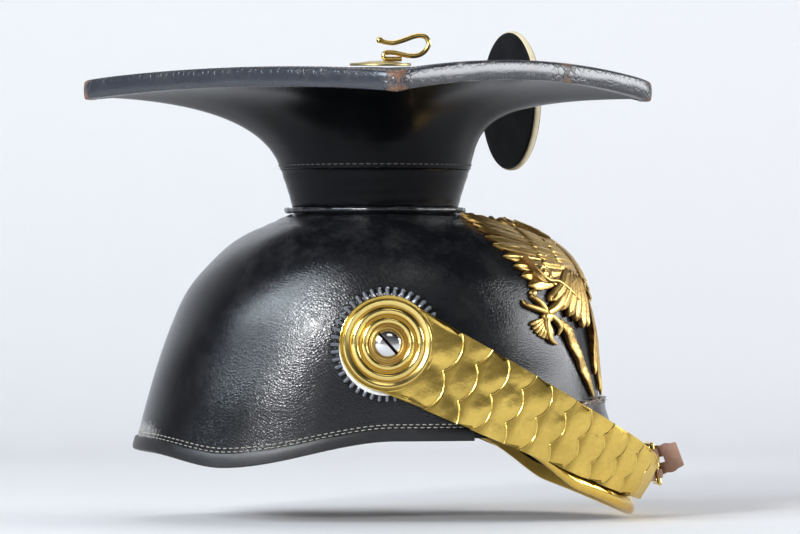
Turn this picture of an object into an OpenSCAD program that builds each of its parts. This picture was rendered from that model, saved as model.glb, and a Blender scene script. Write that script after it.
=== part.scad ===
// Lancer's cap: leather skull, waisted neck, square top, chin scales and fittings
// Millimetres. +X points to the wearer's front, +Y to the wearer's left, +Z up.
// Origin: centre of the head opening, level with the lower edge at the ears.

/* [Skull] */
// Reach of the skull behind the origin
skull_back = 116.3; // [111:0.1:120]
// Reach of the skull in front of the origin
skull_front = 115; // [111:0.5:118]
// Half width of the skull at its lower edge
skull_half_w = 83; // [79:0.5:86]
// Height of the foot of the neck
skull_rise = 109; // [104:0.5:114]
// Thickness of the skull leather
leather_t = 2.8; // [2.2:0.1:3.2]
// Height of the steep part of the skull wall
wall_h = 70; // [60:1:76]
// How far the shoulder lies below the foot of the neck
shoulder_drop = 18.4; // [14:0.2:24]
// How far the front leans back
front_tuck = 9.9; // [6:0.1:13]
// How far the back leans forward
back_tuck = 18.8; // [14:0.2:23]
// Extra rounding of the back below the shoulder
back_round = 8.1; // [5:0.1:12]
// How far the sides swell
side_swell = 3; // [1:0.1:5]
// Height of the lower edge at the back
rim_back_z = -6; // [-9:0.5:-3]
// Height of the lower edge at its lowest, behind the ears
rim_dip_z = -13; // [-16:0.5:-9]
// Place of the lowest stretch of the edge
rim_dip_x = -79; // [-88:1:-70]
// Height of the lower edge at the front
rim_front_z = 12; // [8:0.5:15]
// Height of the binding on the lower edge
rim_tape_h = 4.7; // [3.5:0.1:6]
// Thickness of the binding leather
tape_t = 1.1; // [0.8:0.1:1.5]

/* [Neck and top] */
// Distance of the neck's middle in front of the origin
neck_x = 3; // [0:0.5:6]
// Radius of the neck at its foot
neck_r = 41.8; // [39:0.2:43]
// Height of the collar, from the foot to the seam
collar_h = 22; // [18:0.5:26]
// Radius of the neck at the seam
seam_r = 47.2; // [45:0.2:49]
// Thickness of the neck leather
neck_t = 2.5; // [2:0.1:3]
// How far the collar laps inside the flare
neck_lap = 8; // [5:0.5:11]
// Height of the welt round the foot of the neck
welt_h = 3; // [2.2:0.1:4]
// Side of the square top, before its corners are rounded
board_side = 207; // [200:1:212]
// Rounding of the top's corners
board_corner = 5; // [3:0.5:8]
// Height of the middle of the edge band at the corners
board_z = 170; // [165:1:175]
// How much the two front sides arch above the corners
arch_front = 8; // [4:0.5:9]
// How much the two rear sides arch above the corners
arch_back = 4; // [2:0.5:7]
// How much the top swells above its edge
board_dome = 8; // [4:0.5:11]
// Thickness of the top board
board_t = 4.2; // [3.4:0.1:5]
// Thickness of the edge binding leather
edge_t = 1.2; // [0.9:0.1:1.5]
// How far the edge binding reaches over the top
edge_lap = 8; // [6:0.5:10]

/* [Visor] */
// How far the visor stands out at the front
visor_reach = 15.5; // [12:0.5:16]
// Drop of the visor at the front
visor_drop = 53; // [47:0.5:55]
// Half angle over which the visor runs
visor_sweep = 67; // [62:1:72]
// Thickness of the visor leather
visor_t = 2.2; // [1.8:0.1:2.6]
// How far the visor laps up over the skull
visor_lap = 6; // [4:0.5:8]
// Width of the brass trim at the front of the visor
trim_w = 9; // [6:0.5:11]
// Width of the brass trim at its ends
trim_end_w = 3.5; // [3:0.1:4.5]
// Thickness of the trim brass
trim_t = 0.8; // [0.6:0.05:1]

/* [Front plate] */
// Reach of the wing tips from the middle of the breast
wing_r = 80; // [74:1:82]
// Reach of the head above the middle of the breast
head_up = 60; // [54:1:62]
// Reach of the tail below the middle of the breast
tail_r = 66; // [60:1:68]
// Thickness of the plate brass
plate_t = 1; // [0.8:0.05:1.2]
// Height of the breast above the plate
breast_h = 5; // [3:0.25:6]
// Radius of the plate's two posts
post_r = 2; // [1.5:0.1:2.5]
// Distance of each post from the middle
post_y = 26; // [20:1:32]

/* [Side bosses] */
// Height of the boss screws above the origin
boss_z = 46; // [43:0.5:49]
// Radius of the cockade
cockade_r = 27.9; // [26:0.1:29]
// Thickness of the cockade
cockade_t = 4; // [3.2:0.1:5]
// Count of flutes round the cockade
flute_n = 44; // [36:1:52]
// Outer radius of the pale ring in the cockade
ring_r = 24.8; // [24:0.1:25.4]
// Radius of the rosette
rosette_r = 21.5; // [20:0.1:22.5]
// Radius of the boss screw's head
screw_head_r = 7; // [6:0.1:7.5]
// Radius of the boss screw's shank
shank_r = 3; // [2.5:0.1:3.5]
// Width of the screwdriver slot
slot_w = 1.3; // [1:0.1:1.6]
// Width across the boss nut's corners
nut_d = 11; // [10:0.5:12]

/* [Chin scales] */
// Distance of the strap's lining in front of the visor
strap_ahead = 23; // [22.5:0.5:26]
// How much tighter the strap bends in front than the skull is wide
strap_tuck = 8; // [3:0.5:10]
// Flat length of the strap in front of each boss
strap_flat = 24; // [20:1:27]
// Angle at which the strap hangs
strap_drop = 26.3; // [25:0.1:26.5]
// Thickness of the strap's leather lining
lining_t = 2; // [1.6:0.1:2.4]
// Count of the lobed scales between head plate and end plate
scale_n = 10; // [9:1:10]
// Step from one scale to the next
scale_pitch = 12.7; // [12.3:0.1:12.9]
// Distance of the head plate's lobes from the boss
first_tip = 34.5; // [33:0.5:35.5]
// Width of the scales at the boss end
scale_w = 41; // [38:0.5:42]
// Width of the scales at the buckle end
scale_end_w = 23; // [20:0.5:23.5]
// Thickness of the scale brass
scale_t = 0.8; // [0.6:0.05:0.9]
// How far each scale is covered by the one before it
scale_lap = 4.5; // [3.5:0.1:5]
// How much a scale is crowned across its width
scale_crown = 1.2; // [0.8:0.1:1.5]
// Radius of the round end of the head plate
head_r = 23.2; // [22.8:0.1:24]
// Length of the plain end plate
end_len = 19; // [16:0.5:20]

/* [Buckle] */
// Height of the buckle frame
frame_h = 22; // [20:0.5:24]
// Width of the buckle frame from bar to bar
frame_w = 18; // [16:0.5:20]
// Radius of the buckle wire
wire_r = 1.2; // [1:0.05:1.4]
// Radius of the prong wire
prong_r = 0.9; // [0.7:0.05:1]
// Width of the billet
billet_w = 14.5; // [13:0.5:16]
// Thickness of the billet
billet_t = 1.8; // [1.4:0.1:2]
// How far the buckle leans back from upright
buckle_lean = 12; // [6:1:16]
// How far the buckle stands in front of the strap's end
buckle_out = 1.4; // [1:0.1:2.4]
// How far the buckle stands above the middle of the strap
buckle_up = 8.2; // [6:0.2:8.6]

/* [Field badge] */
// Height of the oval badge
badge_h = 71.5; // [66:0.5:76]
// Width of the oval badge
badge_w = 46; // [42:0.5:50]
// Thickness of the badge board
badge_t = 3.5; // [2.5:0.1:4]
// Direction that the badge faces, from the front towards the left
badge_turn = 30; // [25:1:45]
// Radius of the badge's prong wire
fork_r = 1.1; // [0.9:0.05:1.3]
// Distance between the two prongs
fork_gap = 10; // [8:0.5:11]
// Height of the socket on the edge of the top
socket_h = 8; // [6:0.5:9]

/* [Line hook] */
// Radius of the disc under the hook
disc_r = 15; // [13:0.5:17]
// Distance of the disc from the middle of the top, to the wearer's right
disc_y = 47; // [40:1:54]
// Radius of the hook wire
hook_r = 1.2; // [1:0.05:1.3]

/* [Liner] */
// Height of the sweatband
sweat_h = 36; // [30:1:38]
// Thickness of the sweatband
sweat_t = 1.8; // [1.4:0.1:2.2]
// Thickness of the liner tongues
tongue_t = 1.4; // [1.1:0.1:1.8]
// Radius of the ring that the lace makes
lace_ring_r = 32; // [28:1:36]
// Height of the lace above the origin
lace_z = 80; // [74:1:84]
// Radius of the lace
lace_r = 1; // [0.8:0.1:1.1]

/* [Hidden] */
$fn = 64;
fit = 0.3;      // gap between stacked or moving pieces
turn_fit = 0.06; // radial clearance of a turning fit
around = 48;    // stations round the cap
tongue_n = 8;
scale_last = scale_n + 2;
scale_names = [for (hand = ["right", "left"], i = [1:scale_last]) str("scale_", hand, "_", i)];

function mix(a, b, f) = a + (b - a) * f;
function unit(v) = v / norm(v);
function smooth(lo, hi, v) = let(u = min(1, max(0, (v - lo) / (hi - lo)))) u * u * (3 - 2 * u);
function bez(p, t) = let(u = 1 - t)
  p[0] * pow(u, 3) + 3 * p[1] * t * pow(u, 2) + 3 * p[2] * t * t * u + p[3] * pow(t, 3);
function spow(v, e) = sign(v) * pow(abs(v), e);

// Skull surface: profiles at the front, side and back, each a point of reach and height
skull_oval = 2.2;
neck_oval = 1.8;
front_line = [[skull_front, rim_front_z], [skull_front - front_tuck, rim_front_z + wall_h],
  [skull_front - front_tuck, skull_rise - shoulder_drop], [neck_x + neck_r, skull_rise]];
back_line = [[skull_back, rim_back_z], [skull_back - back_tuck, rim_back_z + wall_h + 2.6],
  [skull_back - back_tuck - back_round, skull_rise - shoulder_drop - 0.5], [neck_r - neck_x, skull_rise]];
side_line = [[skull_half_w, 0], [skull_half_w + side_swell, wall_h - 4],
  [skull_half_w + side_swell + 2, skull_rise - 5], [neck_r, skull_rise]];
function rim_z(x) = x < rim_dip_x ? mix(rim_back_z, rim_dip_z, smooth(-skull_back, rim_dip_x, x))
  : x < 20 ? mix(rim_dip_z, 0, smooth(rim_dip_x, 5, x)) : mix(0, rim_front_z, smooth(45, skull_front, x));
function skull_x(phi, t) = let(e = 2 / mix(skull_oval, neck_oval, t), c = spow(cos(phi), e), m = neck_x * t)
  c > 0 ? m + (bez(front_line, t)[0] - m) * c : m + (bez(back_line, t)[0] + m) * c;
function skull_z(phi, t) = let(c = cos(phi), s = bez(side_line, t)[1])
  s + ((c > 0 ? bez(front_line, t)[1] : bez(back_line, t)[1]) - s) * c * c;
function skull_at(phi, t) = let(e = 2 / mix(skull_oval, neck_oval, t), k = max(0, 1 - t))
  [skull_x(phi, t), bez(side_line, t)[0] * spow(sin(phi), e),
   skull_z(phi, t) + (rim_z(skull_x(phi, 0)) - skull_z(phi, 0)) * k * k * k];
function skull_n(phi, t) = unit(cross(skull_at(phi + 1, t) - skull_at(phi - 1, t),
  skull_at(phi, min(1, t + 0.01)) - skull_at(phi, max(0, t - 0.01))));
function skin(phi, t, d) = skull_at(phi, t) + skull_n(phi, t) * d;
// A point near the lower edge: h above the edge, d outside the skull's face
edge_run = 210;
function hem(phi, h, d) = h >= 0 ? skin(phi, h / edge_run, d) : skin(phi, 0, d) + [0, 0, h];
skull_y = max([for (k = [0:20]) bez(side_line, k / 40)[0]]);

// A closed or open band of leather or metal: every station is a loop of outer then inner points
module band(stations, closed = true) {
  n = len(stations[0]);
  m = len(stations);
  last = closed ? m - 1 : m - 2;
  walls = [for (j = [0:last], i = [0:n - 1]) let(k = (j + 1) % m, l = (i + 1) % n)
    each [[j * n + i, k * n + l, j * n + l], [j * n + i, k * n + i, k * n + l]]];
  e = (m - 1) * n;
  caps = closed ? [] : [for (i = [0:n / 2 - 2]) let(a = i, b = i + 1, c = n - 2 - i, d = n - 1 - i)
    each [[a, b, c], [a, c, d], [e + a, e + c, e + b], [e + a, e + d, e + c]]];
  polyhedron(points = [for (s = stations) each s],
    faces = [for (f = concat(walls, caps)) [f[0], f[2], f[1]]], convexity = 8);
}

// A wire that follows a list of points, with its radius at each
module wire(path, radii, sides = 8) {
  m = len(path);
  dirs = [for (i = [0:m - 1]) unit(path[min(m - 1, i + 1)] - path[max(0, i - 1)])];
  rings = [for (i = [0:m - 1]) let(a = unit(cross(dirs[i], [0.05, 1, 0.02])), b = cross(dirs[i], a))
    [for (k = [0:sides - 1]) path[i] + radii[i] * (cos(360 * k / sides) * a + sin(360 * k / sides) * b)]];
  walls = [for (j = [0:m - 2], i = [0:sides - 1]) let(l = (i + 1) % sides)
    each [[j * sides + i, j * sides + l, (j + 1) * sides + l],
      [j * sides + i, (j + 1) * sides + l, (j + 1) * sides + i]]];
  ends = [[for (i = [0:sides - 1]) sides - 1 - i], [for (i = [0:sides - 1]) (m - 1) * sides + i]];
  faces = [for (f = concat(walls, ends)) [for (k = [len(f) - 1:-1:0]) f[k]]];
  polyhedron(points = [for (g = rings) each g], faces = faces, convexity = 8);
}

// Round the cap in equal steps
turns = [for (i = [0:around - 1]) i * 360 / around];

module skull_shell() {
  rows = [0, 0.06, 0.14, 0.24, 0.34, 0.44, 0.54, 0.64, 0.74, 0.83, 0.91, 0.96, 1];
  tops = len(rows) - 1;
  color("#17181b") difference() {
    band([for (p = turns) concat([for (t = rows) skin(p, t, 0)],
      [for (i = [0:tops]) let(t = rows[tops - i])
        i == 0 ? skull_at(p, 1) - [0, 0, leather_t + 0.3] : skin(p, t, -leather_t)])]);
    translate([0, 0, boss_z]) rotate([90, 0, 0])
      cylinder(r = shank_r + fit, h = 4 * skull_half_w, center = true);
    posts(post_r + fit, 30);
  }
}

module rim_binding() {
  tape = tape_t + 0.15;
  turn_in = leather_t + 0.15;
  start = visor_sweep + 3;
  steps = 36;
  color("#101114") band([for (i = [0:steps]) let(p = start + (360 - 2 * start) * i / steps)
    [hem(p, -tape_t - 0.2, tape), hem(p, rim_tape_h, tape), hem(p, rim_tape_h, 0.15), hem(p, -0.2, 0.15),
     hem(p, -0.2, -turn_in), hem(p, rim_tape_h, -turn_in), hem(p, rim_tape_h, -turn_in - tape_t),
     hem(p, -tape_t - 0.2, -turn_in - tape_t)]], closed = false);
}

// Neck and flare: from the seam out to the edge of the square top
seam_z = skull_rise + collar_h;
board_r = board_side / sqrt(2) - board_corner;
edge_h = board_t + neck_t + 2 * edge_t + 0.3;
flare_end_z = board_z - edge_h / 2 + edge_t + 0.1;
flare_end_r = board_r - edge_t - 2;
flare_up = flare_end_z - seam_z;
flare_back = [[seam_r - neck_x, seam_z], [seam_r - neck_x + 5.8, seam_z + 0.54 * flare_up],
  [seam_r + 29.8, flare_end_z - 1.5], [flare_end_r, flare_end_z]];
flare_front = [[seam_r + neck_x, seam_z], [seam_r + neck_x + 4.8, seam_z + 0.6 * flare_up],
  [seam_r + 8.8, flare_end_z - 0.5], [flare_end_r, flare_end_z]];
flare_side = [[seam_r, seam_z], [seam_r + 5.3, seam_z + 0.57 * flare_up],
  [seam_r + 20.8, flare_end_z - 1], [flare_end_r, flare_end_z]];
// Square with rounded corners, one unit from middle to corner
corner_k = board_corner / board_r;
function squared(phi) = let(c = cos(phi), s = sin(phi), grow = 1 + corner_k, near_x = c * c > s * s,
  v = grow * min(c * c, s * s), w = grow - sqrt(v * v + corner_k * corner_k))
  [sign(c) * (near_x ? w : v), sign(s) * (near_x ? v : w)];
function rounded(phi) = [spow(cos(phi), 2 / neck_oval), spow(sin(phi), 2 / neck_oval)];
function arch(phi) = (cos(phi) > 0 ? arch_front : arch_back) * pow(sin(2 * phi), 2);
function flare_at(phi, t) = let(u = mix(rounded(phi), squared(phi), smooth(0.05, 1, t)),
  f = bez(u[0] > 0 ? flare_front : flare_back, t), s = bez(flare_side, t), c = pow(cos(phi), 2))
  [u[0] * f[0], u[1] * s[0], mix(s[1], f[1], c) + arch(phi) * pow(t, 2)];
function flare_n(phi, t) = unit(cross(flare_at(phi + 1, t) - flare_at(phi - 1, t),
  flare_at(phi, min(1, t + 0.01)) - flare_at(phi, max(0, t - 0.01))));
function flare(phi, t, d) = flare_at(phi, t) + flare_n(phi, t) * d;
function collar(phi, f, d) = let(r = mix(neck_r - 1, seam_r, pow(max(0, f), 1.3)) + d, u = rounded(phi))
  [u[0] * r + neck_x, u[1] * r, skull_rise + collar_h * f];

module neck_collar() {
  foot = -0.3;
  lap_t = 0.08;
  color("#141518") band([for (p = turns) [
    collar(p, foot, 0), collar(p, 0, 0), collar(p, 0.5, 0), collar(p, 0.99, 0),
    flare(p, 0.005, -neck_t - 0.1) - [0, 0, 0.3], flare(p, lap_t * neck_lap / 8, -neck_t - 0.2),
    flare(p, lap_t * neck_lap / 8, -neck_t - 0.2 - neck_t), collar(p, 0.9, -neck_t - 2.2),
    collar(p, 0.6, -neck_t), collar(p, foot, -neck_t)]]);
}

module neck_flare() {
  rows = [0, 0.08, 0.18, 0.3, 0.42, 0.54, 0.66, 0.78, 0.89, 1];
  n = len(rows) - 1;
  color("#141518") band([for (p = turns) concat([for (t = rows) flare(p, t, 0)],
    [for (i = [0:n]) flare(p, rows[n - i], -neck_t)])]);
}

module neck_welt() {
  inner = 1.3;
  color("#1b1c20") band([for (p = turns) [
    collar(p, 0.02, inner + 3), collar(p, 0.02 + welt_h * 0.6 / collar_h, inner + 2.4),
    collar(p, 0.02 + welt_h / collar_h, inner + 1), collar(p, 0.02 + welt_h / collar_h, inner),
    collar(p, 0.02 + welt_h * 0.5 / collar_h, inner), collar(p, 0.02, inner)]]);
}

// Top board: q runs from the middle to the edge
board_edge_z = board_z + edge_h / 2 - edge_t - 0.1;
function board_top(phi, q) = let(u = squared(phi) * (board_r - edge_t - 0.2) * q)
  [u[0], u[1], board_edge_z + board_dome * (1 - q * q) + arch(phi) * pow(q, 3)];
module crown_board() {
  rows = [0.03, 0.3, 0.55, 0.75, 0.9, 1];
  n = len(rows) - 1;
  count = len(turns);
  top = [for (q = rows) [for (p = turns) board_top(p, q)]];
  base = [for (q = rows) [for (p = turns) board_top(p, q) - [0, 0, board_t]]];
  points = concat([for (g = top) each g], [for (g = base) each g]);
  low = (n + 1) * count;
  faces = concat(
    [[for (i = [0:count - 1]) count - 1 - i]],
    [[for (i = [0:count - 1]) low + i]],
    [for (j = [0:n - 1], i = [0:count - 1])
      let(a = j * count + i, b = j * count + (i + 1) % count, c = a + count, d = b + count)
      each [[a, b, d], [a, d, c]]],
    [for (j = [0:n - 1], i = [0:count - 1])
      let(a = low + j * count + i, b = low + j * count + (i + 1) % count, c = a + count, d = b + count)
      each [[a, d, b], [a, c, d]]],
    [for (i = [0:count - 1]) let(a = n * count + i, b = n * count + (i + 1) % count)
      each [[a, b, low + b], [a, low + b, low + a]]]);
  color("#23231f") polyhedron(points = points, faces = faces, convexity = 6);
}

module board_binding() {
  reach = board_r;
  bottom = board_z - edge_h / 2;
  top = board_z + edge_h / 2;
  in_q = (reach - edge_lap) / reach;
  function at(p, r, z) = let(u = squared(p) * r) [u[0], u[1], z + arch(p)];
  function lip(p) = board_top(p, in_q)[2];
  color("#0e0e10") band([for (p = turns) let(u = squared(p), l = lip(p), g = l + 0.25)
    [at(p, reach - 6, bottom), at(p, reach - 1, bottom), at(p, reach, bottom + 1.2),
     at(p, reach, top - 1.2), at(p, reach - 1, top),
     [u[0] * (reach - edge_lap), u[1] * (reach - edge_lap), g + edge_t],
     [u[0] * (reach - edge_lap), u[1] * (reach - edge_lap), g],
     at(p, reach - edge_t, top - edge_t + 0.1), at(p, reach - edge_t, bottom + edge_t),
     at(p, reach - 6, bottom + edge_t - 0.2)]]);
}

// Visor: v runs from the skull's edge to the visor's edge
function visor_g(p) = pow(max(0, cos(90 * p / visor_sweep)), 0.8);
function visor_dir(p) = let(n = skull_n(p, 0)) unit([n[0], n[1], 0]);
function visor_at(p, v, d) = hem(p, 0, 0.4 + d)
  + visor_dir(p) * (visor_reach - visor_t) * visor_g(p) * v + [0, 0, -visor_drop * visor_g(p) * v - 0.1];
visor_stops = [for (i = [-14:14]) (visor_sweep - 1.5) * i / 14];

module visor() {
  color("#2a2018") band([for (p = visor_stops)
    [visor_at(p, 0.97, visor_t), visor_at(p, 0.5, visor_t + 0.8 * visor_g(p)), visor_at(p, 0, visor_t),
     hem(p, visor_lap, 0.4 + visor_t), hem(p, visor_lap, 0.4), visor_at(p, 0, 0),
     visor_at(p, 0.5, 0.8 * visor_g(p)), visor_at(p, 0.97, 0)]], closed = false);
}

module visor_trim() {
  function at(p, h, d) = let(g = visor_g(p), drop = max(visor_drop * g, 4)) visor_at(p, 0.97 - h / drop, d);
  color("#c79a3a") band([for (i = [-13:13]) let(p = (visor_sweep - 4) * i / 13, g = visor_g(p),
    w = mix(trim_end_w, trim_w, g), h = min(w, visor_drop * g * 0.8))
    [at(p, -trim_t - 0.2, visor_t + trim_t + 0.15), at(p, h, visor_t + trim_t + 0.25 + 0.35 * g),
     at(p, h, visor_t + 0.25 + 0.35 * g), at(p, -0.2, visor_t + 0.15),
     at(p, -0.2, -0.15), at(p, h, -0.15 + 0.1 * g), at(p, h, -0.15 - trim_t + 0.1 * g),
     at(p, -trim_t - 0.2, -0.15 - trim_t)]], closed = false);
}

// Front plate: an outline of tips and notches round the breast, laid on the skull
plate_mid = 0.52;
wing = wing_r / 80;
// Each tip: direction, reach, and how far the notch after it stands out
tips = [[-90, tail_r, 0.9], [-78, tail_r * 1.05, 0.9], [-66, tail_r * 1.13, 0.86],
  [-55, tail_r * 1.08, 0.82], [-47, 65 * wing, 0.84],
  [-33, 71 * wing, 0.86], [-22, 73 * wing, 0.72], [-8, 67 * wing, 0.86], [2, 70 * wing, 0.88],
  [14, 77 * wing, 0.88], [26, 80 * wing, 0.88], [38, 81 * wing, 0.88], [49, 78 * wing, 0.87],
  [60, 73 * wing, 0.62], [78, head_up * 0.8, 0.95], [90, head_up, 0.95]];
half_plate = [for (i = [0:len(tips) - 2]) let(a = tips[i], b = tips[i + 1], notch = min(a[1], b[1]) * a[2])
  each [[a[0], a[1]], [mix(a[0], b[0], 0.3), mix(a[1], notch, 0.45)], [mix(a[0], b[0], 0.5), notch],
    [mix(a[0], b[0], 0.7), mix(b[1], notch, 0.45)]]];
top_tip = tips[len(tips) - 1];
plate_rim = concat(half_plate, [[top_tip[0], top_tip[1]]],
  [for (i = [len(half_plate) - 1:-1:1]) [180 - half_plate[i][0], half_plate[i][1]]]);
mm_per_deg = 1.45;
mm_per_t = 138;
function on_front(a, b, d) = skin(a / mm_per_deg, min(0.985, max(0.035, plate_mid + b / mm_per_t)), d);
function plate_pt(dir, r, d) = on_front(r * cos(dir), r * sin(dir), d);
// Gap behind the plate, and how far its face stands off the skull: the breast, the wings, the rest
plate_gap = 0.4;
breast_share = 0.45;
wing_bulge = 3.2;
body_bulge = 0.8;
function is_wing(dir) = min(abs(dir), abs(dir - 180)) < 65;
function plate_rise(dir, f) = plate_gap + plate_t + breast_h * pow(max(0, 1 - f / breast_share), 2)
  + (is_wing(dir) ? wing_bulge * f * (1 - f) : body_bulge * sin(180 * f));

module front_plate() {
  cuts = [0.1, 0.28, 0.46, 0.64, 0.82, 1];
  count = len(plate_rim);
  steps = len(cuts);
  hub = [plate_pt(0, 0, plate_rise(90, 0)), plate_pt(0, 0, plate_gap)];
  top = [for (f = cuts) [for (e = plate_rim) plate_pt(e[0], e[1] * f, plate_rise(e[0], f))]];
  base = [for (f = cuts) [for (e = plate_rim) plate_pt(e[0], e[1] * f, plate_gap)]];
  points = concat(hub, [for (g = top) each g], [for (g = base) each g]);
  t0 = 2;
  b0 = 2 + steps * count;
  faces = concat(
    [for (i = [0:count - 1]) [0, t0 + (i + 1) % count, t0 + i]],
    [for (i = [0:count - 1]) [1, b0 + i, b0 + (i + 1) % count]],
    [for (j = [0:steps - 2], i = [0:count - 1])
      let(a = t0 + j * count + i, b = t0 + j * count + (i + 1) % count)
      each [[a, b, b + count], [a, b + count, a + count]]],
    [for (j = [0:steps - 2], i = [0:count - 1])
      let(a = b0 + j * count + i, b = b0 + j * count + (i + 1) % count)
      each [[a, b + count, b], [a, a + count, b + count]]],
    [for (i = [0:count - 1])
      let(a = (steps - 1) * count + i, b = (steps - 1) * count + (i + 1) % count)
      each [[t0 + a, t0 + b, b0 + b], [t0 + a, b0 + b, b0 + a]]]);
  color("#b98e35") {
    polyhedron(points = points, faces = faces, convexity = 10);
    posts(post_r, 0);
  }
}

// The plate's posts, or the holes that they pass through
post_dir = asin(post_y / (skull_half_w + side_swell)) * 1.1;
post_at = skin(post_dir, 0.45, 0);
post_len = 16;
nut_back = 13;
nut_h = 3;
flange_h = 1;
module posts(r, more) {
  for (s = [-1, 1])
    translate([post_at[0] - post_len, s * post_at[1], post_at[2]]) rotate([0, 90, 0])
      cylinder(r = r, h = post_len + plate_gap + plate_t / 2 + more);
}

module plate_nuts() {
  color("#a8883c") for (s = [-1, 1])
    translate([post_at[0] - nut_back, s * post_at[1], post_at[2]]) rotate([0, 90, 0]) difference() {
      union() {
        cylinder(d = 9, h = nut_h, $fn = 6);
        translate([0, 0, nut_h]) cylinder(r = 6, h = flange_h);
      }
      translate([0, 0, -1]) cylinder(r = post_r + turn_fit, h = nut_h + flange_h + 2);
    }
}

// Stack of pieces on the boss screw, counted outwards from the skull
cockade_y = skull_y + fit;
lining_y = cockade_y + cockade_t + fit;
strap_y = lining_y + lining_t;
pad_t = 1.7;
head_y = strap_y + pad_t + 0.1;
rosette_y = head_y + scale_t + 0.05;
rosette_h = 1;
screw_y = rosette_y + rosette_h + fit;

// Turn a piece that is built along +Z to lie on the boss axis, y from the middle of the cap
module on_boss(side, y) {
  translate([0, side * y, boss_z]) rotate([side > 0 ? -90 : 90, 0, 0]) children();
}

module cockade(side) {
  rim = cockade_r - 1.2;
  color("#121315") on_boss(side, cockade_y) difference() {
    union() {
      cylinder(r = rim, h = cockade_t);
      for (i = [0:flute_n - 1]) rotate([0, 0, 360 * i / flute_n]) translate([rim - 0.2, 0, 0])
        cylinder(r = 1.4, h = cockade_t - 0.6, $fn = 16);
    }
    translate([0, 0, cockade_t - 1.2]) cylinder(r = ring_r, h = 3);
    translate([0, 0, -1]) cylinder(r = shank_r + fit, h = cockade_t + 2);
  }
}

module cockade_rings() {
  color("#cfcdc4") for (side = [-1, 1]) on_boss(side, cockade_y + cockade_t - 1.15) difference() {
    cylinder(r = ring_r - 0.15, h = 1.1);
    translate([0, 0, -1]) cylinder(r = ring_r - 5, h = 4);
  }
}

washer_y = skull_y - leather_t - 0.8;
module boss_screws() {
  color("#b4b6b8") for (side = [-1, 1]) on_boss(side, screw_y) difference() {
    union() {
      cylinder(r = screw_head_r, h = 1.1);
      intersection() {
        translate([0, 0, 1.1]) cylinder(r = screw_head_r, h = 4);
        translate([0, 0, 3.2 - 2 * screw_head_r]) sphere(r = 2 * screw_head_r);
      }
      translate([0, 0, washer_y - screw_y - 7]) cylinder(r = shank_r, h = screw_y - washer_y + 7.5);
    }
    rotate([0, 0, 45]) translate([-slot_w / 2, -screw_head_r - 1, 1.5])
      cube([slot_w, 2 * screw_head_r + 2, 4]);
  }
}

module boss_washers() {
  color("#8f8a7c") for (side = [-1, 1]) on_boss(side, washer_y - 1.2) difference() {
    cylinder(r = 8, h = 1.2);
    translate([0, 0, -1]) cylinder(r = shank_r + 0.1, h = 4);
  }
}

module boss_nuts() {
  color("#9a9b9c") for (side = [-1, 1]) on_boss(side, washer_y - 1.3 - 4) difference() {
    cylinder(d = nut_d, h = 4, $fn = 6);
    translate([0, 0, -1]) cylinder(r = shank_r + turn_fit, h = 6);
  }
}

// Chin strap: s runs along the strap from the boss, h stands off the lining's outer face
strap_reach = skull_front + visor_reach + strap_ahead;
strap_bend_r = skull_half_w - strap_tuck;
run_1 = strap_reach - strap_flat;
bend_1 = (pow(run_1 - strap_bend_r, 2) + pow(strap_y, 2) - pow(strap_bend_r, 2))
  / (2 * (strap_y - strap_bend_r));
turn_1 = atan2(run_1 - strap_bend_r, bend_1 - strap_y);
len_1 = bend_1 * turn_1 * PI / 180;
strap_len = strap_flat + len_1 + strap_bend_r * (90 - turn_1) * PI / 180;
function strap_turn(s) = s < strap_flat ? 0 : s < strap_flat + len_1 ? (s - strap_flat) / bend_1 * 180 / PI
  : turn_1 + (s - strap_flat - len_1) / strap_bend_r * 180 / PI;
function strap_r(s) = s < strap_flat + len_1 ? bend_1 : strap_bend_r;
function strap_at(s, h) = let(a = strap_turn(s))
  s < strap_flat ? [s, -strap_y - h]
  : s < strap_flat + len_1 ? [strap_flat + (bend_1 + h) * sin(a), bend_1 - strap_y - (bend_1 + h) * cos(a)]
  : [strap_reach - strap_bend_r + (strap_bend_r + h) * sin(a), -(strap_bend_r + h) * cos(a)];
end_tip = first_tip + scale_n * scale_pitch + end_len;
function scale_half(s) = let(f = (s - first_tip) / (end_tip - first_tip))
  mix(scale_w, scale_end_w, min(1, max(0, f))) / 2;

// The right strap is the pattern; the left one is its mirror image
module hang(side) {
  translate([0, 0, boss_z]) rotate([0, strap_drop, 0]) {
    if (side < 0) {
      children();
    } else {
      mirror([0, 1, 0]) children();
    }
  }
}
module pivot_bore() {
  rotate([90, 0, 0]) cylinder(r = shank_r + turn_fit, h = 200);
}

module lining(side) {
  stop = end_tip - 2;
  steps = 30;
  edge = 1.7;
  marks = [for (i = [0:steps]) stop * i / steps];
  function along(s) = strap_at(s, 0)[0] + 0.01 * s;
  color("#3a2417") hang(side) difference() {
    union() {
      intersection() {
        translate([0, 0, -30]) linear_extrude(60) polygon(concat([for (s = marks) strap_at(s, 0)],
          [for (i = [0:steps]) strap_at(marks[steps - i], -lining_t)]));
        rotate([90, 0, 0]) linear_extrude(200) polygon(concat(
          [for (s = marks) [along(s), scale_half(s) - edge]],
          [[200, scale_half(stop) - edge], [200, edge - scale_half(stop)]],
          [for (i = [0:steps]) [along(marks[steps - i]), edge - scale_half(marks[steps - i])]]));
      }
      rotate([90, 0, 0]) translate([0, 0, lining_y]) cylinder(r = head_r - 0.7, h = lining_t);
      rotate([90, 0, 0]) translate([0, 0, strap_y - 0.01]) cylinder(r = head_r - 2.2, h = pad_t);
    }
    pivot_bore();
  }
}

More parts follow.
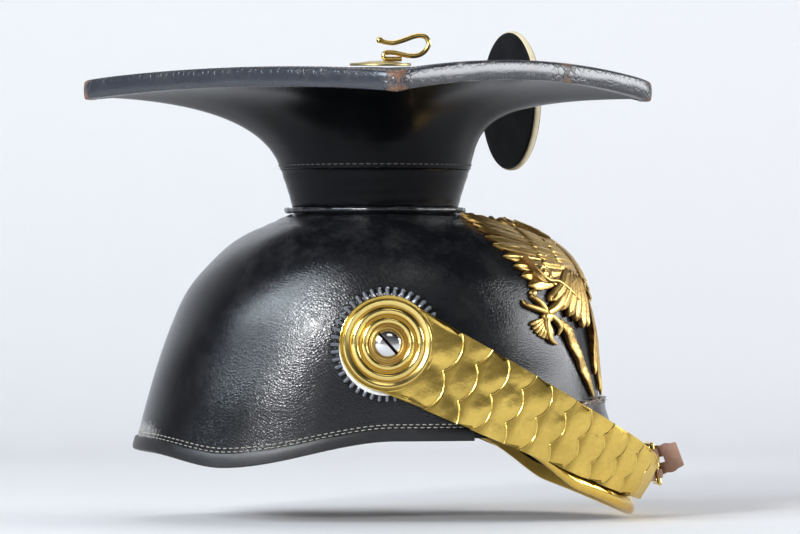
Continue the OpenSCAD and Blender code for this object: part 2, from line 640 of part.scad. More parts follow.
module rosette(side) {
  // Each bead: distance from the screw, height, radius
  beads = [[rosette_r - 2, rosette_h - 1, 2], [rosette_r - 5.6, rosette_h - 0.6, 1.6],
    [screw_head_r + 4.2, rosette_h, 1.3], [screw_head_r + 1.5, rosette_h - 0.4, 1]];
  color("#d8ab45") hang(side) rotate([90, 0, 0]) translate([0, 0, rosette_y]) rotate_extrude($fn = 96)
    difference() {
      union() {
        translate([shank_r + turn_fit, 0]) square([rosette_r - shank_r - turn_fit - 0.6, rosette_h]);
        for (b = beads) translate([b[0], b[1]]) circle(r = b[2], $fn = 32);
      }
      translate([-1, -5]) square([rosette_r + 5, 5]);
    }
}

// Lobed end of a scale, from one side to the other: two or three lobes, the tip at x = 0
lobe_step = 22.5;
function lobes(half, three) = let(r = half / 2) three
  ? concat([for (a = [0:lobe_step:90]) [r * (cos(a) - 1), r * sin(a) - half]],
    [for (a = [lobe_step - 90:lobe_step:90 - lobe_step]) [r * (cos(a) - 1), r * sin(a)]],
    [for (a = [-90:lobe_step:0]) [r * (cos(a) - 1), half + r * sin(a)]])
  : concat([for (a = [-90:lobe_step:90]) [r * (cos(a) - 1), r * sin(a) - r]],
    [for (a = [lobe_step - 90:lobe_step:90]) [r * (cos(a) - 1), r * sin(a) + r]]);

module head_plate(side) {
  half = scale_half(first_tip);
  waist = acos(0.3);
  color("#d2a443") hang(side) rotate([90, 0, 0]) translate([0, 0, head_y]) linear_extrude(scale_t)
    difference() {
      polygon(concat([for (e = lobes(half, false)) [first_tip + e[0], e[1]]],
        [for (i = [0:30]) let(a = waist + (360 - 2 * waist) * i / 30) [head_r * cos(a), head_r * sin(a)]]));
      circle(r = shank_r + turn_fit);
    }
}

// One scale: a crowned strip with a lobed tip, laid from its covered root to its raised tip
scale_seat = 0.2;
function scale_root(i) = first_tip + (i - 2) * scale_pitch - scale_lap;
function scale_tip(i) = first_tip + min(i - 1, scale_n) * scale_pitch + (i == scale_last ? end_len : 0);
// How far the strap bows away below the middle of the scale, and how far the scale is crowned
function scale_bow(i) = let(length = scale_tip(i) - scale_root(i), mid = scale_root(i) + length / 2)
  pow(length, 2) / (8 * strap_r(mid));
function scale_rise(i) = let(dip = scale_pitch * scale_lap / (2 * strap_r(scale_tip(i))),
  more = max(0, scale_bow(i + 1) - scale_bow(i)) + crown_at(i + 1) - crown_at(i))
  (scale_t + scale_seat + dip + more) * (scale_pitch + scale_lap) / scale_pitch;
function crown_at(i) = scale_crown * min(1, (i - 2) / 3);
module scale_plate(side, i) {
  last = i == scale_last;
  tip = scale_tip(i);
  root = scale_root(i);
  bow = scale_bow(i);
  rise = last ? 0.9 : scale_rise(i);
  crown = crown_at(i);
  half = scale_half(root);
  a = strap_at(root, scale_seat + bow);
  b = strap_at(tip, scale_seat + bow + rise);
  run = norm(b - a);
  tip_half = scale_half(tip);
  // Across the scale, from edge to edge
  marks = [for (k = [-4:4]) [k * half / 4, crown * (1 - k * k / 16)]];
  color(i % 2 == 0 ? "#cf9f3c" : "#d9ad4a") hang(side)
    translate([a[0], a[1], 0]) rotate([0, 0, atan2(b[1] - a[1], b[0] - a[0])]) intersection() {
      rotate([90, 0, 90]) linear_extrude(run) polygon(concat([for (m = marks) [-m[1], m[0]]],
        [for (k = [8:-1:0]) [-marks[k][1] - scale_t, marks[k][0]]]));
      rotate([90, 0, 0]) linear_extrude(20, center = true) polygon(concat([[-1, half], [-1, -half]],
        last ? [[run, -tip_half], [run, tip_half]]
          : [for (e = lobes(tip_half, i % 2 == 0)) [run + e[0], e[1]]]));
    }
}

// Buckle: its own frame, upright at the front of the strap; x outwards, y towards the left
buckle_tilt = -strap_drop - buckle_lean;
bar_y = frame_w / 2 - wire_r;
module buckle_place() {
  hang(-1) translate([strap_reach + buckle_out, 0, buckle_up]) rotate([0, buckle_tilt, 0]) children();
}
function buckle_pt(x, y, z) = let(c = cos(buckle_tilt), s = sin(buckle_tilt))
  [strap_reach + buckle_out + c * x + s * z, y, buckle_up - s * x + c * z];

module buckle_frame() {
  post = frame_h / 2 - wire_r;
  color("#cda244") buckle_place() {
    for (y = [-bar_y, bar_y]) translate([0, y, -post]) cylinder(r = wire_r, h = 2 * post);
    for (z = [-post, post]) {
      translate([0, -bar_y, z]) rotate([-90, 0, 0]) cylinder(r = wire_r, h = 2 * bar_y);
      for (y = [-bar_y, bar_y]) translate([0, y, z]) sphere(r = wire_r);
    }
  }
}

loop_w = 15;
loop_up = 2;
prong_slot = 4.4;
module buckle_loop() {
  bore = wire_r + 0.15;
  leather = 1.2;
  h = loop_w / 2;
  face = strap_turn(end_tip);
  root = strap_at(end_tip - 4, 0) + 2.6 * [cos(face), sin(face)];
  deep = root + leather * [-sin(face), cos(face)];
  near = [for (e = [[root, -h], [root, h], [deep, h], [deep, -h]]) [e[0][0], e[0][1], loop_up + e[1]]];
  far = [for (e = [[0.1, -h], [0.1, h], [0.1 - leather, h], [0.1 - leather, -h]])
    buckle_pt(e[0] - bore, -bar_y - 0.4, e[1])];
  color("#4a2c1a") difference() {
    union() {
      hang(-1) band([for (f = [0:0.1:1]) mix(near, far, f)], closed = false);
      buckle_place() translate([0, -bar_y, -h]) cylinder(r = bore + leather, h = loop_w);
    }
    buckle_place() translate([0, -bar_y, -loop_w]) cylinder(r = bore, h = 2 * loop_w);
    buckle_place() translate([-4, -bar_y - 3.2, -prong_slot / 2]) cube([20, 10, prong_slot]);
  }
}

module buckle_prong() {
  ring = wire_r + turn_fit;
  reach = 2 * bar_y + 1.2;
  lift = wire_r + prong_r + 0.12;
  color("#c79a3a") buckle_place() translate([0, -bar_y, 0]) difference() {
    union() {
      translate([0, 0, -1.6]) cylinder(r = ring + 0.9, h = 3.2);
      rotate([0, 0, -asin(lift / (2 * bar_y))]) rotate([-90, 0, 0]) cylinder(r = prong_r, h = reach);
    }
    translate([0, 0, -3]) cylinder(r = ring, h = 6);
  }
}

module billet() {
  inside = -lining_t - billet_t / 2 - 0.6;
  // Five stops inside the left strap, then through the frame and out over the far bar
  roots = [for (e = [[-16, 0, 0], [-12, 0, 0], [-8, 0.05, 0], [-4.5, 0.18, 0], [-1, 0.35, 0.1]])
    let(q = strap_at(end_tip + e[0], inside))
    [q[0], -q[1], buckle_up * e[1], buckle_tilt * e[2]]];
  ends = [for (e = [[-3, bar_y + 3.4, -1], [-2.8, bar_y, 0], [-2, 3.6, 0.6], [0.2, 0, 1], [3, -4, 1.2],
    [5.8, -7, 1.5], [9, -9, 2], [12.5, -10.4, 2.6]]) let(q = buckle_pt(e[0], e[1], e[2]))
    [q[0], q[1], q[2], buckle_tilt]];
  stops = concat(roots, [for (f = [0.33, 0.67]) mix(roots[len(roots) - 1], ends[0], f)], ends);
  n = len(stops) - 1;
  pts = [for (e = stops) [e[0], e[1], e[2]]];
  stations = [for (i = [0:n]) let(dir = unit(pts[min(n, i + 1)] - pts[max(0, i - 1)]),
    wide = [sin(stops[i][3]), 0, cos(stops[i][3])], out = unit(cross(wide, dir)), across = cross(dir, out),
    half = billet_w / 2 * (i == n ? 0.75 : 1))
    [pts[i] + out * billet_t / 2 - across * half, pts[i] + out * billet_t / 2 + across * half,
     pts[i] - out * billet_t / 2 + across * half, pts[i] - out * billet_t / 2 - across * half]];
  color("#5a3520") difference() {
    hang(-1) band([for (i = [0:n]) stations[n - i]], closed = false);
    buckle_place() translate([-5, -7, -1.5]) cube([12, 13, 3]);
  }
}

// Field badge on the front left edge of the top
side_mid = (board_side / 2) + 0.1;
socket_t = 5;
socket_w = fork_gap + 6;
socket_z = board_z + arch_front;
badge_out = side_mid + socket_t + 5.8;
module on_edge(out, z) {
  rotate([0, 0, 45]) translate([out, 0, z]) children();
}
module badge_place() {
  on_edge(badge_out, board_z - 2) rotate([0, 0, badge_turn - 45]) children();
}
function oval(w, h) = [for (i = [0:47]) [w / 2 * cos(i * 7.5), h / 2 * sin(i * 7.5)]];

module badge_socket() {
  color("#8d7434") on_edge(side_mid + fit + socket_t / 2, socket_z) difference() {
    translate([-socket_t / 2, -socket_w / 2, -socket_h / 2]) cube([socket_t, socket_w, socket_h]);
    for (y = [-1, 1]) translate([0, y * fork_gap / 2, -socket_h])
      cylinder(r = fork_r + turn_fit, h = 2 * socket_h);
  }
}

module badge_board() {
  color("#cbbf98") badge_place() rotate([90, 0, 90]) translate([0, 0, -badge_t / 2]) linear_extrude(badge_t)
    polygon(oval(badge_w, badge_h));
}

module badge_back() {
  color("#101012") badge_place() rotate([90, 0, 90]) translate([0, 0, -badge_t / 2 - 0.85])
    linear_extrude(0.8) polygon(oval(badge_w - 1.4, badge_h - 1.4));
}

module badge_face() {
  rows = [1, 0.8, 0.55, 0.28];
  rise = 6;
  count = 48;
  rings = [for (q = rows) [for (e = oval((badge_w - 2) * q, (badge_h - 2) * q))
    [badge_t / 2 + 0.05 + 0.6 + rise * (1 - q * q), e[0], e[1]]]];
  base = [for (e = oval(badge_w - 2, badge_h - 2)) [badge_t / 2 + 0.05, e[0], e[1]]];
  all = concat([base], rings);
  m = len(all);
  color("#0f0f11") badge_place() polyhedron(points = [for (g = all) each g], faces = concat(
    [[for (i = [0:count - 1]) i]], [[for (i = [0:count - 1]) (m - 1) * count + count - 1 - i]],
    [for (j = [0:m - 2], i = [0:count - 1]) let(a = j * count + i, b = j * count + (i + 1) % count)
      each [[a, b + count, b], [a, a + count, b + count]]]),
    convexity = 4);
}

module badge_fork() {
  top = socket_z + socket_h / 2 + 4;
  out = side_mid + fit + socket_t / 2;
  low = socket_z - socket_h / 2 - 3;
  turn = badge_turn - 45;
  color("#b08e3c") for (y = [-1, 1]) {
    on_edge(out, low) translate([0, y * fork_gap / 2, 0]) cylinder(r = fork_r, h = top - low);
    on_edge(out, top) translate([0, y * fork_gap / 2, 0]) sphere(r = fork_r);
    on_edge(out, top) translate([0, y * fork_gap / 2, 0]) rotate([0, 90, 0]) cylinder(r = fork_r,
      h = badge_out - out - badge_t / 2 - 0.9 - y * fork_gap / 2 * tan(turn) - fork_r * 0.4);
  }
}

// Line hook on its disc
disc_z = board_top(-90, disc_y / board_r)[2] + 0.35;
disc_t = 2.4;
disc_rim = 1.3;
disc_dome = 60;
module hook_disc() {
  color("#a98a3f") translate([1, -disc_y, disc_z]) rotate([2.5, 0, 0]) {
    cylinder(r = disc_r, h = disc_rim);
    intersection() {
      cylinder(r = disc_r - 2, h = disc_t);
      translate([0, 0, disc_t - disc_dome]) sphere(r = disc_dome, $fn = 128);
    }
  }
}

module line_hook() {
  // Along the wire: from its foot on the disc, back over itself, then round to the free tip
  shape = [[11.4, 0.95], [8, 0.95], [4.2, 0.95], [3.1, 1.4], [2.6, 2.5], [3.1, 3.6], [4.2, 4.1], [8, 4],
    [12, 3.1], [15.8, 2.5], [19.4, 2.8], [22.4, 4.4], [24.3, 7], [24.6, 9.6], [23.2, 11.7], [20.4, 12.4],
    [17, 11.8], [12, 10], [7.4, 8.8], [3.2, 9.2]];
  tip = [0.6, 10.2];
  lead = unit(tip - shape[len(shape) - 1]);
  ball_r = hook_r * 1.35;
  ball = [for (a = [-45, -25, 0, 30, 55, 75]) [tip + lead * ball_r * sin(a), ball_r * cos(a)]];
  bends = concat([for (e = shape) [e, hook_r]], ball);
  color("#d0a544") wire([for (e = bends) [e[0][0], -disc_y, disc_z + disc_t + e[0][1]]],
    [for (e = bends) e[1]]);
}

// Liner: band at the edge, tongues up to the lace
module sweatband() {
  off = leather_t + tape_t + 0.6;
  color("#6a4a30") band([for (p = turns) [hem(p, 2, -off), hem(p, sweat_h / 2, -off), hem(p, sweat_h, -off),
    hem(p, sweat_h, -off - sweat_t), hem(p, sweat_h / 2, -off - sweat_t), hem(p, 2, -off - sweat_t)]]);
}

function tongue_mid(p, f) = let(off = leather_t + tape_t + sweat_t + 0.9,
  a = hem(p, sweat_h - 10, -off), b = hem(p, sweat_h + 24, -off - 10),
  c = [cos(p) * (lace_ring_r + 22), sin(p) * (lace_ring_r + 20), lace_z - 8],
  e = [cos(p) * lace_ring_r, sin(p) * lace_ring_r, lace_z])
  bez([a, b, c, e], f);
module liner_tongues() {
  cuts = [0, 0.2, 0.4, 0.6, 0.8, 0.965];
  hem_r = lace_r + fit;
  hem_w = 6.5;
  hem_turn = 18;
  color("#7a573a") for (k = [0:tongue_n - 1]) {
    p = (k + 0.5) * 360 / tongue_n;
    band([for (f = [for (i = [len(cuts) - 1:-1:0]) cuts[i]]) let(half = mix(20, 0, pow(f, 0.5)),
      in = unit(tongue_mid(p, max(0, f - 0.03)) - tongue_mid(p, min(1, f + 0.03))),
      side = [-sin(p), cos(p), 0], up = unit(cross(in, side)), w = mix(0, hem_w, smooth(0.5, 0.96, f)),
      l = tongue_mid(p - half, f) - side * w, r = tongue_mid(p + half, f) + side * w)
      let(lift = up * tongue_t / 2) [l + lift, r + lift, r - lift, l - lift]], closed = false);
    rotate([0, 0, p - hem_turn / 2]) translate([0, 0, lace_z]) rotate_extrude(angle = hem_turn)
      translate([lace_ring_r, 0]) difference() {
        circle(r = hem_r + tongue_t, $fn = 32);
        circle(r = hem_r, $fn = 32);
      }
  }
}

module liner_lace() {
  color("#8a6a48") translate([0, 0, lace_z]) rotate_extrude($fn = 96) translate([lace_ring_r, 0])
    circle(r = lace_r, $fn = 24);
}

skull_shell();
rim_binding();
neck_collar();
neck_flare();
neck_welt();
crown_board();
board_binding();
visor();
visor_trim();
front_plate();
plate_nuts();
cockade(-1);  // cockade_right
cockade(1);  // cockade_left
cockade_rings();
boss_screws();
boss_washers();
boss_nuts();
hook_disc();
line_hook();
badge_socket();
sweatband();
liner_tongues();
liner_lace();
rosette(-1);  // rosette_right
lining(-1);  // lining_right
buckle_loop();
buckle_frame();
rosette(1);  // rosette_left
lining(1);  // lining_left
billet();
buckle_prong();
badge_board();
badge_back();
badge_face();
badge_fork();
head_plate(-1);  // scale_right_1
head_plate(1);  // scale_left_1
for (i = [2:scale_last]) {
  scale_plate(-1, i);
  scale_plate(1, i);
}
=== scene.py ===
import math

import bpy
import numpy as np
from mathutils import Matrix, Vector


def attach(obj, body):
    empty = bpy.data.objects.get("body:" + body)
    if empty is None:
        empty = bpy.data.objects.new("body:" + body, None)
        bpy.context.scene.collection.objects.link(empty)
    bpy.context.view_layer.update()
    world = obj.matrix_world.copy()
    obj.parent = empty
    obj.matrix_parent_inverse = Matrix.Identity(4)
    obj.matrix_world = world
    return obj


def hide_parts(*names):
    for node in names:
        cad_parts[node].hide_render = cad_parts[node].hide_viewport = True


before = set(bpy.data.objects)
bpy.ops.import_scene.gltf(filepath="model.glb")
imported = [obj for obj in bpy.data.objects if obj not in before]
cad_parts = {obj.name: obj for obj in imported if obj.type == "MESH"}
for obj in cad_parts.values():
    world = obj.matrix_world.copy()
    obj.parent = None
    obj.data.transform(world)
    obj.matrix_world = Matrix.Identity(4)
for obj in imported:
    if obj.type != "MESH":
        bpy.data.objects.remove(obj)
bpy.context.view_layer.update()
scene = bpy.context.scene

# ---------------------------------------------------------------- table, light and camera
# The cap hangs just above a pale sweep of paper that curves up behind it. A broad soft box lights
# it from the left and a small bright one from the front left; weaker ones stand in front, on the
# right and above, and one lights the paper.
ground = -0.0418


def put(tree, kind, inputs=None, **settings):
    """Add a node; its inputs are numbers, colours or sockets to join."""
    made = tree.nodes.new("ShaderNode" + kind)
    for key, value in settings.items():
        setattr(made, key, value)
    for key, value in (inputs or {}).items():
        if isinstance(value, bpy.types.NodeSocket):
            tree.links.new(value, made.inputs[key])
        else:
            made.inputs[key].default_value = value
    return made


def new_finish(name):
    """An empty material: the material itself, its node tree and its main shader."""
    made = bpy.data.materials.new(name)
    made.use_nodes = True
    return made, made.node_tree, made.node_tree.nodes["Principled BSDF"]


def paper(name, colour):
    made, tree, shader = new_finish(name)
    shader.inputs["Base Color"].default_value = (*colour, 1)
    shader.inputs["Roughness"].default_value = 0.9
    shader.inputs["Specular IOR Level"].default_value = 0.15
    # From behind, the paper doesn't hide the cap
    clear = put(tree, "BsdfTransparent")
    behind = put(tree, "NewGeometry").outputs["Backfacing"]
    side = put(tree, "MixShader", {0: behind, 1: shader.outputs[0], 2: clear.outputs[0]})
    tree.links.new(side.outputs[0], tree.nodes["Material Output"].inputs["Surface"])
    return made


sweep_start, sweep_r, half_wide = 0.9, 0.7, 4
sweep_line = [(-1.6, 0), (sweep_start, 0)] + [
    (sweep_start + sweep_r * math.sin(a), sweep_r - sweep_r * math.cos(a))
    for a in np.linspace(0.1, math.pi / 2, 14)] + [(1.6, 3.2)]
sweep = bpy.data.meshes.new("paper_sweep")
sweep.from_pydata(
    [(x, y, ground + h) for y, h in sweep_line for x in (-half_wide, half_wide)], [],
    [(2 * i, 2 * i + 1, 2 * i + 3, 2 * i + 2) for i in range(len(sweep_line) - 1)])
sweep.polygons.foreach_set("use_smooth", [True] * len(sweep.polygons))
sweep.materials.append(paper("pale_paper", (0.8, 0.8, 0.81)))
backdrop = bpy.data.objects.new("paper_sweep", sweep)
scene.collection.objects.link(backdrop)

# The camera of the photograph, as matched: its focal length is in pixels of the picture's width
eye, ahead = Vector((-0.243, -2.5885, 0.0827)), Vector((0.0993, 0.99506, 0))
focal, photo_wide, film = 5234, 800, 36
shot = bpy.data.cameras.new("camera")
shot.sensor_width = film
shot.lens = focal / photo_wide * film
shot.clip_end = 50
camera = bpy.data.objects.new("camera", shot)
camera.location = eye
camera.rotation_euler = ahead.to_track_quat("-Z", "Y").to_euler()
scene.collection.objects.link(camera)
scene.camera = camera
scene.view_settings.view_transform = "Standard"


def soft_box(name, place, aim, size, power, colour):
    lamp = bpy.data.lights.new(name, "AREA")
    lamp.shape = "RECTANGLE"
    lamp.size, lamp.size_y = size
    lamp.energy = power
    lamp.color = colour
    box = bpy.data.objects.new(name, lamp)
    box.location = place
    box.rotation_euler = (Vector(aim) - Vector(place)).to_track_quat("-Z", "Y").to_euler()
    scene.collection.objects.link(box)


soft_box("box_left", (-1.45, -0.98, 0.9), (0, 0, 0.05), (1.15, 0.55), 31, (0.8, 0.9, 1))
soft_box("box_key", (-1.05, -1.67, 0.55), (0, 0, 0.05), (0.3, 0.22), 32, (0.97, 0.98, 1))
soft_box("box_front", (0.5, -2.3, 1.6), (0, 0, 0.06), (0.9, 0.7), 3, (1, 0.97, 0.93))
soft_box("box_right", (1.67, -0.06, 0.42), (0, 0, 0.05), (1.4, 0.5), 23, (0.95, 0.97, 1))
soft_box("box_top", (0.0, 0.3, 1.6), (0, 0, 0.1), (0.9, 0.9), 4, (0.97, 0.98, 1))
soft_box("box_paper", (0, 0.8, 1.9), (0, 1.6, 0.1), (2.6, 0.4), 7, (0.97, 0.98, 1))
room = bpy.data.worlds.new("room")
room.use_nodes = True
scene.world = room
sky = room.node_tree.nodes["Background"]
# The room is pale below and dark above
walls = put(room.node_tree, "TexCoord").outputs["Generated"]
sky_up = put(room.node_tree, "SeparateXYZ", {0: walls}).outputs["Z"]
shade = put(room.node_tree, "MapRange", {"Value": sky_up, "From Min": 0.02, "From Max": 0.42,
                                         "To Min": 0.0, "To Max": 1.0})
tint = put(room.node_tree, "Mix", {0: shade.outputs["Result"]}, data_type="RGBA")
tint.inputs[6].default_value = (0.95, 0.96, 1, 1)
tint.inputs[7].default_value = (0.1, 0.105, 0.12, 1)
room.node_tree.links.new(tint.outputs[2], sky.inputs["Color"])
sky.inputs["Strength"].default_value = 0.22

# ---------------------------------------------------------------- skull
# The skull is thick cowhide pressed over a block while wet, then blacked and waxed: an oval
# wall, a soft shoulder, and a round mouth at the top to which the neck is sewn.
skull_back, skull_front, skull_side, skull_top = 116.3, 115.0, 83.0, 109.0
side_swell, hide = 3, 2.8
neck_x, neck_r = 3.0, 41.8
front_line = [(skull_front, 12), (skull_front - 9.9, 82), (skull_front - 9.9, skull_top - 18.4),
              (neck_x + neck_r, skull_top)]
back_line = [(skull_back, -6), (skull_back - 18.8, 66.6), (skull_back - 26.9, skull_top - 18.9),
             (neck_r - neck_x, skull_top)]
side_line = [(skull_side, 0), (skull_side + side_swell, 66), (skull_side + 5, skull_top - 5),
             (neck_r, skull_top)]
# How square the oval is at the rim and at the mouth, and mm of wall for the way up from 0 to 1
rim_power, mouth_power, wall_run = 2.2, 1.8, 210
# The lower edge: its height at the back, at its lowest point behind the ears, and in front
rim_back, rim_dip, rim_front = -6, -13, 12
dip_x, ear_x, front_x = -79, 5, 45


def alike(*values):
    """The values as arrays of one shape."""
    return np.broadcast_arrays(*(np.asarray(v, float) for v in values))


def sin_deg(angle):
    return np.sin(np.radians(angle))


def cos_deg(angle):
    return np.cos(np.radians(angle))


def mix(a, b, f):
    return a + (b - a) * f


def smooth(lo, hi, v):
    u = np.clip((np.asarray(v, float) - lo) / (hi - lo), 0, 1)
    return u * u * (3 - 2 * u)


def hump(v, mid, wide):
    """A smooth rise to 1 at mid, and down again."""
    return np.exp(-(((v - mid) / wide) ** 2))


def spow(v, e):
    return np.sign(v) * np.abs(v) ** e


def cubic(p, t):
    """A curve from the first of four points to the last, drawn towards the two between."""
    u = 1 - t
    return p[0] * u**3 + 3 * p[1] * t * u * u + 3 * p[2] * t * t * u + p[3] * t**3


def bez(line, t, k):
    return cubic([p[k] for p in line], t)


def rim_z(x):
    rear = mix(rim_back, rim_dip, smooth(-skull_back, dip_x, x))
    middle = mix(rim_dip, 0, smooth(dip_x, ear_x, x))
    ahead = mix(0, rim_front, smooth(front_x, skull_front, x))
    return np.where(x < dip_x, rear, np.where(x < 20, middle, ahead))


def skull_at(phi, t):
    """The skull's face, round by phi degrees from the front, up by t from rim to mouth."""
    phi, t = alike(np.radians(phi), t)
    c, s, e = np.cos(phi), np.sin(phi), 2 / mix(rim_power, mouth_power, t)

    def reach(t, e):
        m, k = neck_x * t, spow(c, e)
        return np.where(k > 0, m + (bez(front_line, t, 0) - m) * k, m + (bez(back_line, t, 0) + m) * k)

    def height(t):
        side = bez(side_line, t, 1)
        return side + (np.where(c > 0, bez(front_line, t, 1), bez(back_line, t, 1)) - side) * c * c

    k = np.maximum(0, 1 - t) ** 3
    zero = t * 0
    z = height(t) + (rim_z(reach(zero, zero + 2 / rim_power)) - height(zero)) * k
    return np.stack([reach(t, e), bez(side_line, t, 0) * spow(s, e), z], -1)


def unit(v):
    return v / np.maximum(np.linalg.norm(v, axis=-1, keepdims=True), 1e-9)


def skull_out(phi, t):
    """The way straight out of the skull's face."""
    return unit(np.cross(skull_at(phi + 1, t) - skull_at(phi - 1, t),
                         skull_at(phi, np.minimum(1, t + 0.01)) - skull_at(phi, np.maximum(0, t - 0.01))))


def skin(phi, t, d):
    """A point d mm off the skull's face."""
    phi, t, d = alike(phi, t, d)
    return skull_at(phi, t) + skull_out(phi, t) * d[..., None]


def hem(phi, h, d):
    """A point h mm above the skull's lower edge, d mm off its face."""
    phi, h, d = alike(phi, h, d)
    low = np.minimum(h, 0)[..., None] * np.array([0, 0, 1.0])
    return skin(phi, np.maximum(h, 0) / wall_run, d) + low


def piece(name, points, faces, finish, body, stands_for=(), slot=None, sharp=35, marks=None):
    """Make a mesh from points in millimetres, dress it, and let it ride on a body of the model."""
    mesh = bpy.data.meshes.new(name)
    mesh.from_pydata((np.asarray(points, float).reshape(-1, 3) / 1000).tolist(), [],
                     [list(f) for f in faces])
    mesh.polygons.foreach_set("use_smooth", [True] * len(mesh.polygons))
    mesh.set_sharp_from_angle(angle=math.radians(sharp))
    for key, values in (marks or {}).items():
        layer = mesh.attributes.new(key, "FLOAT", "POINT")
        layer.data.foreach_set("value", np.asarray(values, np.float32).ravel())
    mesh.materials.append(finish)
    made = bpy.data.objects.new(name, mesh)
    scene.collection.objects.link(made)
    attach(made, body)
    if stands_for:
        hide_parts(*stands_for)
    return made


def loft_faces(rows, cols, wrap_rows=False, wrap_cols=False, start=0, flip=False):
    """Quads over a grid of points laid out row by row."""
    faces = []
    for j in range(rows if wrap_rows else rows - 1):
        k = (j + 1) % rows
        for i in range(cols if wrap_cols else cols - 1):
            l = (i + 1) % cols
            quad = (start + j * cols + i, start + j * cols + l, start + k * cols + l, start + k * cols + i)
            faces.append(quad[::-1] if flip else quad)
    return faces


def row_ends(rows, cols, start=0, flip=False):
    """The two faces that close a grid at its first and last row."""
    last = start + (rows - 1) * cols
    ends = [tuple(range(start, start + cols))[::-1], tuple(range(last, last + cols))]
    return [end[::-1] for end in ends] if flip else ends


def col_ends(rows, cols):
    """The same at its first and last column."""
    return [tuple(range(0, rows * cols, cols)), tuple(range(cols - 1, rows * cols, cols))[::-1]]


def round_steps(n):
    """Angles of n points round a circle."""
    return np.arange(n) * 2 * math.pi / n


def shell(name, ring, finish, body, stands_for=(), slot=None, flip=True, **more):
    """A piece whose grid of points closes on itself both ways."""
    faces = loft_faces(*ring.shape[:2], True, True, flip=flip)
    return piece(name, ring, faces, finish, body, stands_for, slot, **more)


def bar(name, ring, finish, body, stands_for, slot, **more):
    """A piece of closed loops in a row, with a face at each end."""
    rows, cols = ring.shape[:2]
    faces = loft_faces(rows, cols, False, True) + row_ends(rows, cols)
    return piece(name, ring, faces, finish, body, stands_for, slot, **more)


def slab(name, ring, finish, body, stands_for, slot, **more):
    """A round piece from its upper middle over the edge to its lower middle."""
    rows, cols = ring.shape[:2]
    faces = loft_faces(rows, cols, True, False) + col_ends(rows, cols)
    return piece(name, ring, faces, finish, body, stands_for, slot, **more)


def effect(name, inputs, outputs):
    """A new shader effect with named sockets; gives its tree, the entry and the exit."""
    tree = bpy.data.node_groups.new(name, "ShaderNodeTree")
    for key, value in inputs.items():
        socket = tree.interface.new_socket(key, in_out="INPUT", socket_type="NodeSocketFloat")
        socket.default_value = value
    for key in outputs:
        tree.interface.new_socket(key, in_out="OUTPUT", socket_type="NodeSocketFloat")
    return tree, tree.nodes.new("NodeGroupInput"), tree.nodes.new("NodeGroupOutput")


def math_node(tree, kind, a, b=0.0, clamp=False):
    return put(tree, "Math", {0: a, 1: b}, operation=kind, use_clamp=clamp).outputs[0]


def times(tree, a, b, clamp=False):
    return math_node(tree, "MULTIPLY", a, b, clamp)


def plus(tree, a, b, clamp=False):
    return math_node(tree, "ADD", a, b, clamp)


def minus(tree, a, b, clamp=False):
    return math_node(tree, "SUBTRACT", a, b, clamp)


def noise(tree, where, scale, detail, rough=0.5, out="Fac"):
    return put(tree, "TexNoise", {"Vector": where, "Scale": scale, "Detail": detail,
                                  "Roughness": rough}).outputs[out]


def on_object(tree):
    return put(tree, "TexCoord").outputs["Object"]


def marked(tree, mark):
    return put(tree, "Attribute", attribute_name=mark).outputs["Fac"]


def emboss(tree, shader, strength, depth, height):
    """Join a height to the shader; depth is in metres."""
    bump = put(tree, "Bump", {"Strength": strength, "Distance": depth, "Height": height})
    tree.links.new(bump.outputs[0], shader.inputs["Normal"])


def cells(tree, where, scale, bend, bend_scale, bend_detail):
    """Distance to the edge of uneven cells, whose outlines wander by up to bend metres."""
    wander = noise(tree, where, bend_scale, bend_detail, out="Color")
    moved = put(tree, "VectorMath", {0: wander, 1: (bend, bend, bend)}, operation="MULTIPLY").outputs[0]
    place = put(tree, "VectorMath", {0: where, 1: moved}, operation="ADD").outputs[0]
    return put(tree, "TexVoronoi", {"Vector": place, "Scale": scale},
               feature="DISTANCE_TO_EDGE").outputs["Distance"]


def roughen(tree, shader, rough, *shares):
    """Roughness: a base, and a share of each mask on top."""
    for mask, share in shares:
        rough = plus(tree, rough, times(tree, mask, share))
    tree.links.new(rough, shader.inputs["Roughness"])


# Grain: pebbles of the hide between fine folds, with a slow change of tone over the piece
grain, into, out = effect("hide_grain", {"Pebbles": 900.0, "Folds": 70.0}, ["Height", "Tone"])
where = on_object(grain)
pebble = times(grain, cells(grain, where, into.outputs["Pebbles"], 0.0016, 140.0, 2.0), 2.2, clamp=True)
rough = times(grain, noise(grain, where, into.outputs["Folds"], 6.0, 0.65), 1.3)
grain.links.new(plus(grain, pebble, rough), out.inputs["Height"])
grain.links.new(noise(grain, where, 22.0, 5.0, 0.6), out.inputs["Tone"])

# Scuffs: long thin scratches and small rubbed spots, as a mask
scuffs, into, out = effect("scuffs", {"Scale": 60.0, "Amount": 0.5}, ["Mask"])
where = on_object(scuffs)
drawn = put(scuffs, "Mapping", {"Vector": where, "Rotation": (0.5, 0.9, 0.3), "Scale": (1.0, 7.0, 2.0)})
lines = times(scuffs, noise(scuffs, drawn.outputs[0], into.outputs["Scale"], 8.0, 0.7), 0.62)
spots = times(scuffs, noise(scuffs, where, 420.0, 3.0), 0.38)
floor_at = minus(scuffs, 0.78, times(scuffs, into.outputs["Amount"], 0.34))
over = minus(scuffs, plus(scuffs, lines, spots), floor_at)
scuffs.links.new(times(scuffs, over, 9.0, clamp=True), out.inputs["Mask"])

